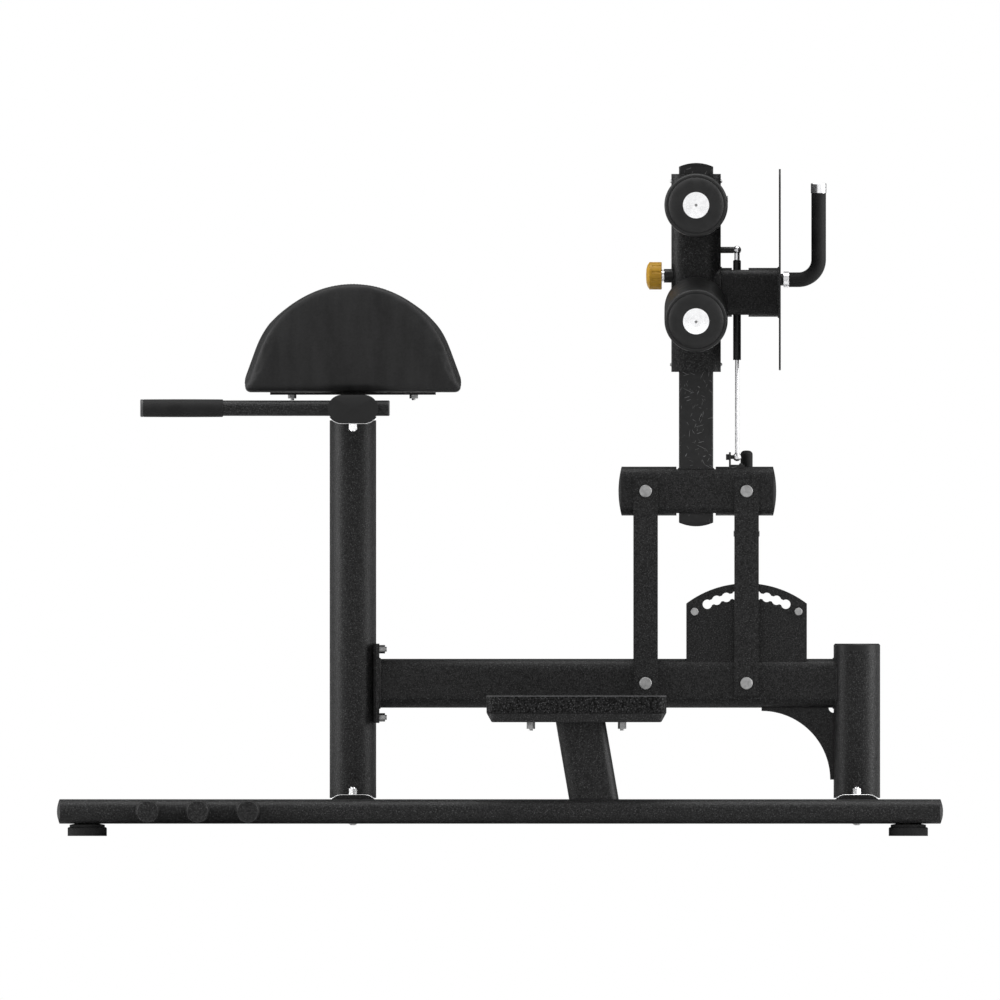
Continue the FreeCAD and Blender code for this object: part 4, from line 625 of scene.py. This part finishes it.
def seam_places(tree, y):
    """Places and normals on the cover, all along its seam at y."""
    hub = Vector((FRONT_POST_X, y, PAD_CENTRE_Z))
    places = []
    for k in range(STITCH_RAYS + 1):
        angle = math.radians(-4 + 188 * k / STITCH_RAYS)
        out = Vector((math.cos(angle), 0, math.sin(angle)))
        place, normal, _, _ = tree.ray_cast(hub + out * 0.5, -out)
        if place is not None and place.z > PAD_LOW + 0.008:
            places.append((place, normal))
    return places


def make_stitches(pad, mat):
    """One short raised thread per stitch, on the seam near each end."""
    tree = BVHTree.FromPolygons([v.co for v in pad.data.vertices],
                                [tuple(p.vertices) for p in pad.data.polygons])
    shape = Matrix.Diagonal((*STITCH_SIZE, 1))
    work = bmesh.new()
    for _, sign in SIDES:
        places = seam_places(tree, sign * (PAD_END - SEAM_INSET - STITCH_INSET))
        travelled, last = STITCH_PITCH, places[0][0]
        for place, normal in places:
            travelled += (place - last).length
            last = place
            if travelled < STITCH_PITCH:
                continue
            travelled = 0.0
            run = Vector((0, 1, 0)).cross(normal).normalized()
            turn = Matrix((run, run.cross(normal) * -1, normal)).transposed().to_4x4()
            spot = Matrix.Translation(place + normal * 0.0001)
            bmesh.ops.create_icosphere(work, subdivisions=1, radius=1.0, matrix=spot @ turn @ shape)
    mesh = bpy.data.meshes.new("pad_stitches")
    work.to_mesh(mesh)
    work.free()
    new_piece("pad_stitches", mesh, mat, "base")


# Rollers, grips and steps ------------------------------------------------------------------------

ROLLER_RADIUS = 0.0645
ROLLER_LENGTH = 0.200
ROLLER_INNER = 0.042
ROLLER_LEVELS = (("upper", 1.2868, 0.0), ("lower", 1.0780, math.radians(8)))
ROLLER_BORE = 0.0127
ROLLER_CORE = 0.016
ROLLER_RIM = 0.0062
ROLLER_GROOVE = 0.0572
ROLLER_DISH = 0.0032
ROLLER_UNEVEN = 0.00025
GROOVE_DEEP = 0.0012
CORE_DEEP = 0.004
GRIP_BORE = 0.016
GRIP_RADIUS = 0.018
GRIP_MOUTH = 0.0016
HANDLE_Y = 0.275
HANDLE_Z = 0.8727
STEP_VOXEL = 0.0022


def bulge(length, radius, swell_by):
    """Profile points between two ends, a hair fuller in the middle."""
    return [(length * k / 8, radius + swell_by * math.sin(math.pi * k / 8)) for k in range(1, 8)]


def mirrored(length, profile):
    """The same profile seen from a sleeve's other end."""
    return [(length - along, radius) for along, radius in reversed(profile)]


def roller_profile():
    """Foam roller: rounded rim, a groove round each end face, and a face that dishes to its core."""
    groove, floor = ROLLER_GROOVE, ROLLER_DISH + GROOVE_DEEP
    face = [(0.0, ROLLER_CORE), (0.0, 0.027), (ROLLER_DISH * 0.5, 0.042), (ROLLER_DISH, groove - 0.0009),
            (floor, groove - 0.0004), (floor, groove + 0.0004), (ROLLER_DISH, groove + 0.0009)]
    near = face + arc(ROLLER_DISH + ROLLER_RIM, ROLLER_RADIUS - ROLLER_RIM, ROLLER_RIM, 176, 90, 8)
    mouth = [(CORE_DEEP, ROLLER_BORE), (CORE_DEEP, ROLLER_CORE - 0.0008)]
    return (near + bulge(ROLLER_LENGTH, ROLLER_RADIUS, 0.0002) + mirrored(ROLLER_LENGTH, near)
            + mirrored(ROLLER_LENGTH, mouth) + mouth)


def make_rollers(mat):
    """The four foam rollers, each on its own body."""
    for side, sign in SIDES:
        for level, height, droop in ROLLER_LEVELS:
            name = "roller_%s_%s" % (level, side)
            start = (UPRIGHT_X, sign * ROLLER_INNER, height)
            axis = (0, sign * math.cos(droop), -math.sin(droop))
            mesh = lathe(name + "_foam", roller_profile(), start, axis, 120)
            points = points_of(mesh)
            uneven = noise_at(points, 45) * ROLLER_UNEVEN
            set_points(mesh, points + normals_of(mesh) * uneven[:, None])
            piece = new_piece(name + "_foam", mesh, mat, name)
            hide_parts(name)


def grip_profile(length):
    """Rubber sleeve with rounded mouths, a hair thicker in its middle."""
    mouth = [(0.0015, GRIP_BORE), (0.0, GRIP_BORE + 0.0008)]
    near = mouth + arc(GRIP_MOUTH, GRIP_RADIUS - GRIP_MOUTH, GRIP_MOUTH, 180, 90, 4)
    return near + bulge(length, GRIP_RADIUS, 0.0003) + mirrored(length, near)


def make_handle_grips(mat):
    """The rubber sleeves on the two handlebars."""
    low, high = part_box("handle_grips")
    profile = grip_profile(high.x - low.x)
    for side, sign in SIDES:
        mesh = lathe("handle_grip_" + side, profile, (low.x, sign * HANDLE_Y, HANDLE_Z), (1, 0, 0), 72)
        new_piece("handle_grip_" + side, mesh, mat, "base")
    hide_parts("handle_grips")


def make_steps(mat, skirt):
    """Each step: a smooth skirt below its seam and coarse raised grit above it."""
    covers = remeshed_copy(nodes["step_treads"], "step_covers", STEP_VOXEL)
    data = covers.data
    points = points_of(data)
    grit = noise_at(points, 330) + 0.6 * noise_at(points, 610)
    height = (0.00045 * np.maximum(grit, -0.4) + 0.0003) * (points[:, 2] > STEP_SEAM + 0.001)
    set_points(data, points + normals_of(data) * height[:, None])
    data.materials.clear()
    data.materials.append(mat)
    data.materials.append(skirt)
    for polygon in data.polygons:
        polygon.use_smooth = True
        if polygon.center.z <= STEP_SEAM:
            polygon.material_index = 1
    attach(covers, "base")
    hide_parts("step_treads")


# Welds and painted edge highlights ----------------------------------------------------------------

BEAD_SIDES = 8
BEAD_STEP = 0.0016
BEAD_RADIUS = 0.0022
THIN_BEAD_RADIUS = 0.0017
POST_RADIUS = 0.0475
TUBE_TALL = 0.1
TUBE_WIDE = 0.05
BEAM_LEVEL = 0.3115
BEAM_FLANGE_X = -0.2455
PEG_PLACES = (-0.719, -0.617, -0.515)
PEG_RADIUS = 0.0225
RAIL_LEVEL = 0.05
RAIL_CURVE = 0.025
RAIL_CURVE_Y = 0.355
UPRIGHT_HALF = 0.035
UPRIGHT_SIDE = 0.015
ARM_LEVEL = 1.109
ARM_ENDS = (0.4508, 0.5684)
SADDLE_REACH = 0.0702
SADDLE_HALF = 0.053
SADDLE_LIP = 0.0135
# Radius of the chrome bead painted as the saddle plates' edge highlight.
SADDLE_HIGHLIGHT_RADIUS = 0.0009


def bead(work, points, radius, closed, ripple=0.16):
    """A rippled weld bead along a path, added to a bmesh."""
    sides = BEAD_SIDES
    rings = []
    count = len(points)
    for k, point in enumerate(points):
        before = points[k - 1] if (closed or k) else point
        after = points[(k + 1) % count] if (closed or k < count - 1) else point
        run = (after - before).normalized()
        across = run.orthogonal().normalized()
        side = run.cross(across)
        swell_by = radius * (1 + ripple * math.sin(k * 2.1))
        ring = [work.verts.new(point + (across * math.cos(a) + side * math.sin(a)) * swell_by)
                for a in (2 * math.pi * s / sides for s in range(sides))]
        rings.append(ring)
    for k in range(count if closed else count - 1):
        first, second = rings[k], rings[(k + 1) % count]
        offset = nearest_turn(first, second)
        for s in range(sides):
            t = (s + 1) % sides
            work.faces.new((first[s], first[t], second[(t + offset) % sides], second[(s + offset) % sides]))
    if not closed:
        for ring in (rings[0], rings[-1]):
            work.faces.new(ring)


def nearest_turn(first, second):
    """How far the second ring is turned from the first, so that its joins don't twist."""
    sides = len(first)
    return min(range(sides), key=lambda o: sum((first[s].co - second[(s + o) % sides].co).length
                                               for s in range(0, sides, 2)))


def tube_end_path(level, place):
    """Points round the upright flat-oval tube's end; place(y) gives each point's X."""
    radius = TUBE_WIDE / 2
    straight = TUBE_TALL - TUBE_WIDE
    half_turn = math.pi * radius
    length = 2 * (straight + half_turn)
    count = int(length / BEAD_STEP)
    made = []
    for k in range(count):
        s = k * length / count
        if s < straight:
            y, z = radius, level - straight / 2 + s
        elif s < straight + half_turn:
            a = (s - straight) / radius
            y, z = radius * math.cos(a), level + straight / 2 + radius * math.sin(a)
        elif s < 2 * straight + half_turn:
            y, z = -radius, level + straight / 2 - (s - straight - half_turn)
        else:
            a = (s - 2 * straight - half_turn) / radius
            y, z = -radius * math.cos(a), level - straight / 2 - radius * math.sin(a)
        made.append(Vector((place(y), y, z)))
    return made


def peg_path(x, sign):
    """Points round a peg's root, on the rail's rounded side."""
    count = 80
    made = []
    for k in range(count):
        a = 2 * math.pi * k / count
        z = PEG_RADIUS * math.sin(a)
        y = sign * (RAIL_CURVE_Y + math.sqrt(RAIL_CURVE ** 2 - z ** 2))
        made.append(Vector((x + PEG_RADIUS * math.cos(a), y, RAIL_LEVEL + z)))
    return made


def line_path(first, last):
    """Evenly spaced points from first to last."""
    first, last = Vector(first), Vector(last)
    count = max(2, int((last - first).length / BEAD_STEP))
    return [first.lerp(last, k / count) for k in range(count + 1)]


def finish_beads(work, name, body, mat):
    """Turn a bmesh of beads into a piece."""
    bmesh.ops.recalc_face_normals(work, faces=work.faces)
    mesh = bpy.data.meshes.new(name)
    work.to_mesh(mesh)
    work.free()
    new_piece(name, mesh, mat, body)


def make_welds(mat):
    """The beads where beam, pegs, upright and footplate arm are welded on."""
    base = bmesh.new()
    bead(base, tube_end_path(BEAM_LEVEL, lambda y: BEAM_FLANGE_X), BEAD_RADIUS, True)
    bead(base, tube_end_path(BEAM_LEVEL, lambda y: REAR_POST_X - math.sqrt(POST_RADIUS ** 2 - y ** 2)),
         BEAD_RADIUS, True)
    for _, sign in SIDES:
        for x in PEG_PLACES:
            bead(base, peg_path(x, sign), BEAD_RADIUS, True)
    finish_beads(base, "welds_base", "base", mat)

    upper = bmesh.new()
    for x in (UPRIGHT_X - UPRIGHT_HALF, UPRIGHT_X + UPRIGHT_HALF):
        path = line_path((x, -UPRIGHT_SIDE, 0.7487), (x, UPRIGHT_SIDE, 0.7487))
        bead(upper, path, BEAD_RADIUS, False)
    for _, sign in SIDES:
        y = sign * UPRIGHT_SIDE
        for z in (0.7486, 0.6584):
            bead(upper, line_path((0.366, y, z), (0.434, y, z)), THIN_BEAD_RADIUS, False)
    finish_beads(upper, "welds_upper_frame", "upper_frame", mat)

    carriage = bmesh.new()
    for x in ARM_ENDS:
        bead(carriage, tube_end_path(ARM_LEVEL, lambda y: x), BEAD_RADIUS, True)
    finish_beads(carriage, "welds_carriage", "carriage", mat)


def saddle_edge(centre_x, centre_z, tall, upward, y):
    """The outer line of a saddle plate's end: flat in the middle, curling round the tube at both sides."""
    radius = tall / 2
    flat = SADDLE_HALF - radius
    turn = math.acos((radius - SADDLE_LIP) / radius)
    steps = 14
    points = []
    for k in range(steps + 1):
        a = turn * (1 - k / steps)
        points.append((-flat - radius * math.sin(a), radius * math.cos(a)))
    points += [(-x, z) for x, z in reversed(points)]
    return [Vector((centre_x + x, y, centre_z + upward * z)) for x, z in points]


def make_saddle_edge_highlights(mat):
    """Painted highlight beads in chrome along the saddle plates' edges: one under the crossbar, two on the
    base cross tubes.
    """
    work = bmesh.new()
    for _, sign in SIDES:
        y = sign * SADDLE_REACH
        for edge in (saddle_edge(FRONT_POST_X, 0.8715, 0.060, -1, y),
                     saddle_edge(FRONT_POST_X, 0.053, 0.062, 1, y),
                     saddle_edge(REAR_POST_X, 0.053, 0.062, 1, y)):
            bead(work, edge, SADDLE_HIGHLIGHT_RADIUS, False, 0.0)
    finish_beads(work, "saddle_edge_highlights", "base", mat)


# Build -------------------------------------------------------------------------------------------


def build():
    scene = bpy.context.scene
    scene.view_settings.view_transform = "Standard"
    scene.view_settings.look = "None"
    make_camera()
    make_world()
    make_floor()
    area_light("left_box", (-3.2, -0.5, 1.4), (0, 0, 0.8), 1.6, 2.6, 55)
    area_light("right_box", (3.2, -0.5, 1.4), (0, 0, 0.8), 1.6, 2.6, 60)
    area_light("top_box", (0, 0, 3.6), (0, 0, 0), 3.2, 1.6, 40)

    coat = powder_coat()
    satin = satin_black()
    cap = moulded("moulded_black", 0.008)
    rubber = black_rubber()
    skin = roller_skin()
    cover = vinyl()
    chrome = metal("chrome", (0.88, 0.88, 0.89), 0.22, 260, shadow=0.9)
    zinc = metal("zinc", (0.34, 0.34, 0.34), 0.36, 700)
    alloy = metal("turned_aluminium", (0.94, 0.94, 0.95), 0.26, 900, (1, 0.25, 1), shadow=0.9)
    grit = grip_grit()
    paint(coat, "rail_left", "rail_right", "band_pegs", "base_cross_tubes", "saddle_plates", "front_post",
          "rear_post", "pad_crossbar", "handlebars", "pad_bracket", "pad_base_plate", "lower_beam",
          "beam_flange", "rear_gusset", "step_struts", "notch_plates", "front_link_bars", "rear_link_bars",
          "upper_beam", "carriage_sleeve", "footplate_arm", "footplate")
    paint(satin, "upright_post", "latch_lever", "spring_bracket", "foot_handle_tube", "pop_pin_barrel",
          "gas_spring_stud")
    paint(gas_spring_black(), "gas_spring_cylinder")
    paint(cap, "frame_end_caps", "upper_frame_caps", "sleeve_liners")
    paint(moulded("plug_grey", 0.05), "handle_end_plugs")
    paint(rubber, "rubber_feet", "latch_grip", "foot_handle_grip", "handle_grips")
    paint(chrome, "saddle_bolts", "latch_pin", "pop_pin_plunger")
    paint(metal("ground_steel", (0.66, 0.66, 0.67), 0.30, 500, shadow=0.9), "gas_spring_rod")
    paint(zinc, "hex_bolts", "notch_plate_bolts", "lower_pivot_bushes", "lower_pivot_bolts",
          "latch_pivot_pin", "upper_pivot_bushes", "upper_pivot_bolts", "sleeve_screws", "roller_axles")
    paint(alloy, "foot_handle_fittings", "roller_washers")
    paint(amber_plastic(), "pop_pin_knob")
    paint(plywood(), "pad_board")
    paint(cover, "hip_pad")
    paint(skin, "roller_upper_left", "roller_upper_right", "roller_lower_left", "roller_lower_right")
    paint(grit, "step_treads")

    make_hip_pad(cover, plain("thread", grey(0.03), 0.6)[0])
    make_rollers(skin)
    make_handle_grips(rubber)
    make_steps(grit, coat)
    make_welds(coat)
    # Chrome beads painted as highlights along the saddle plates' edges.
    make_saddle_edge_highlights(chrome)


build()
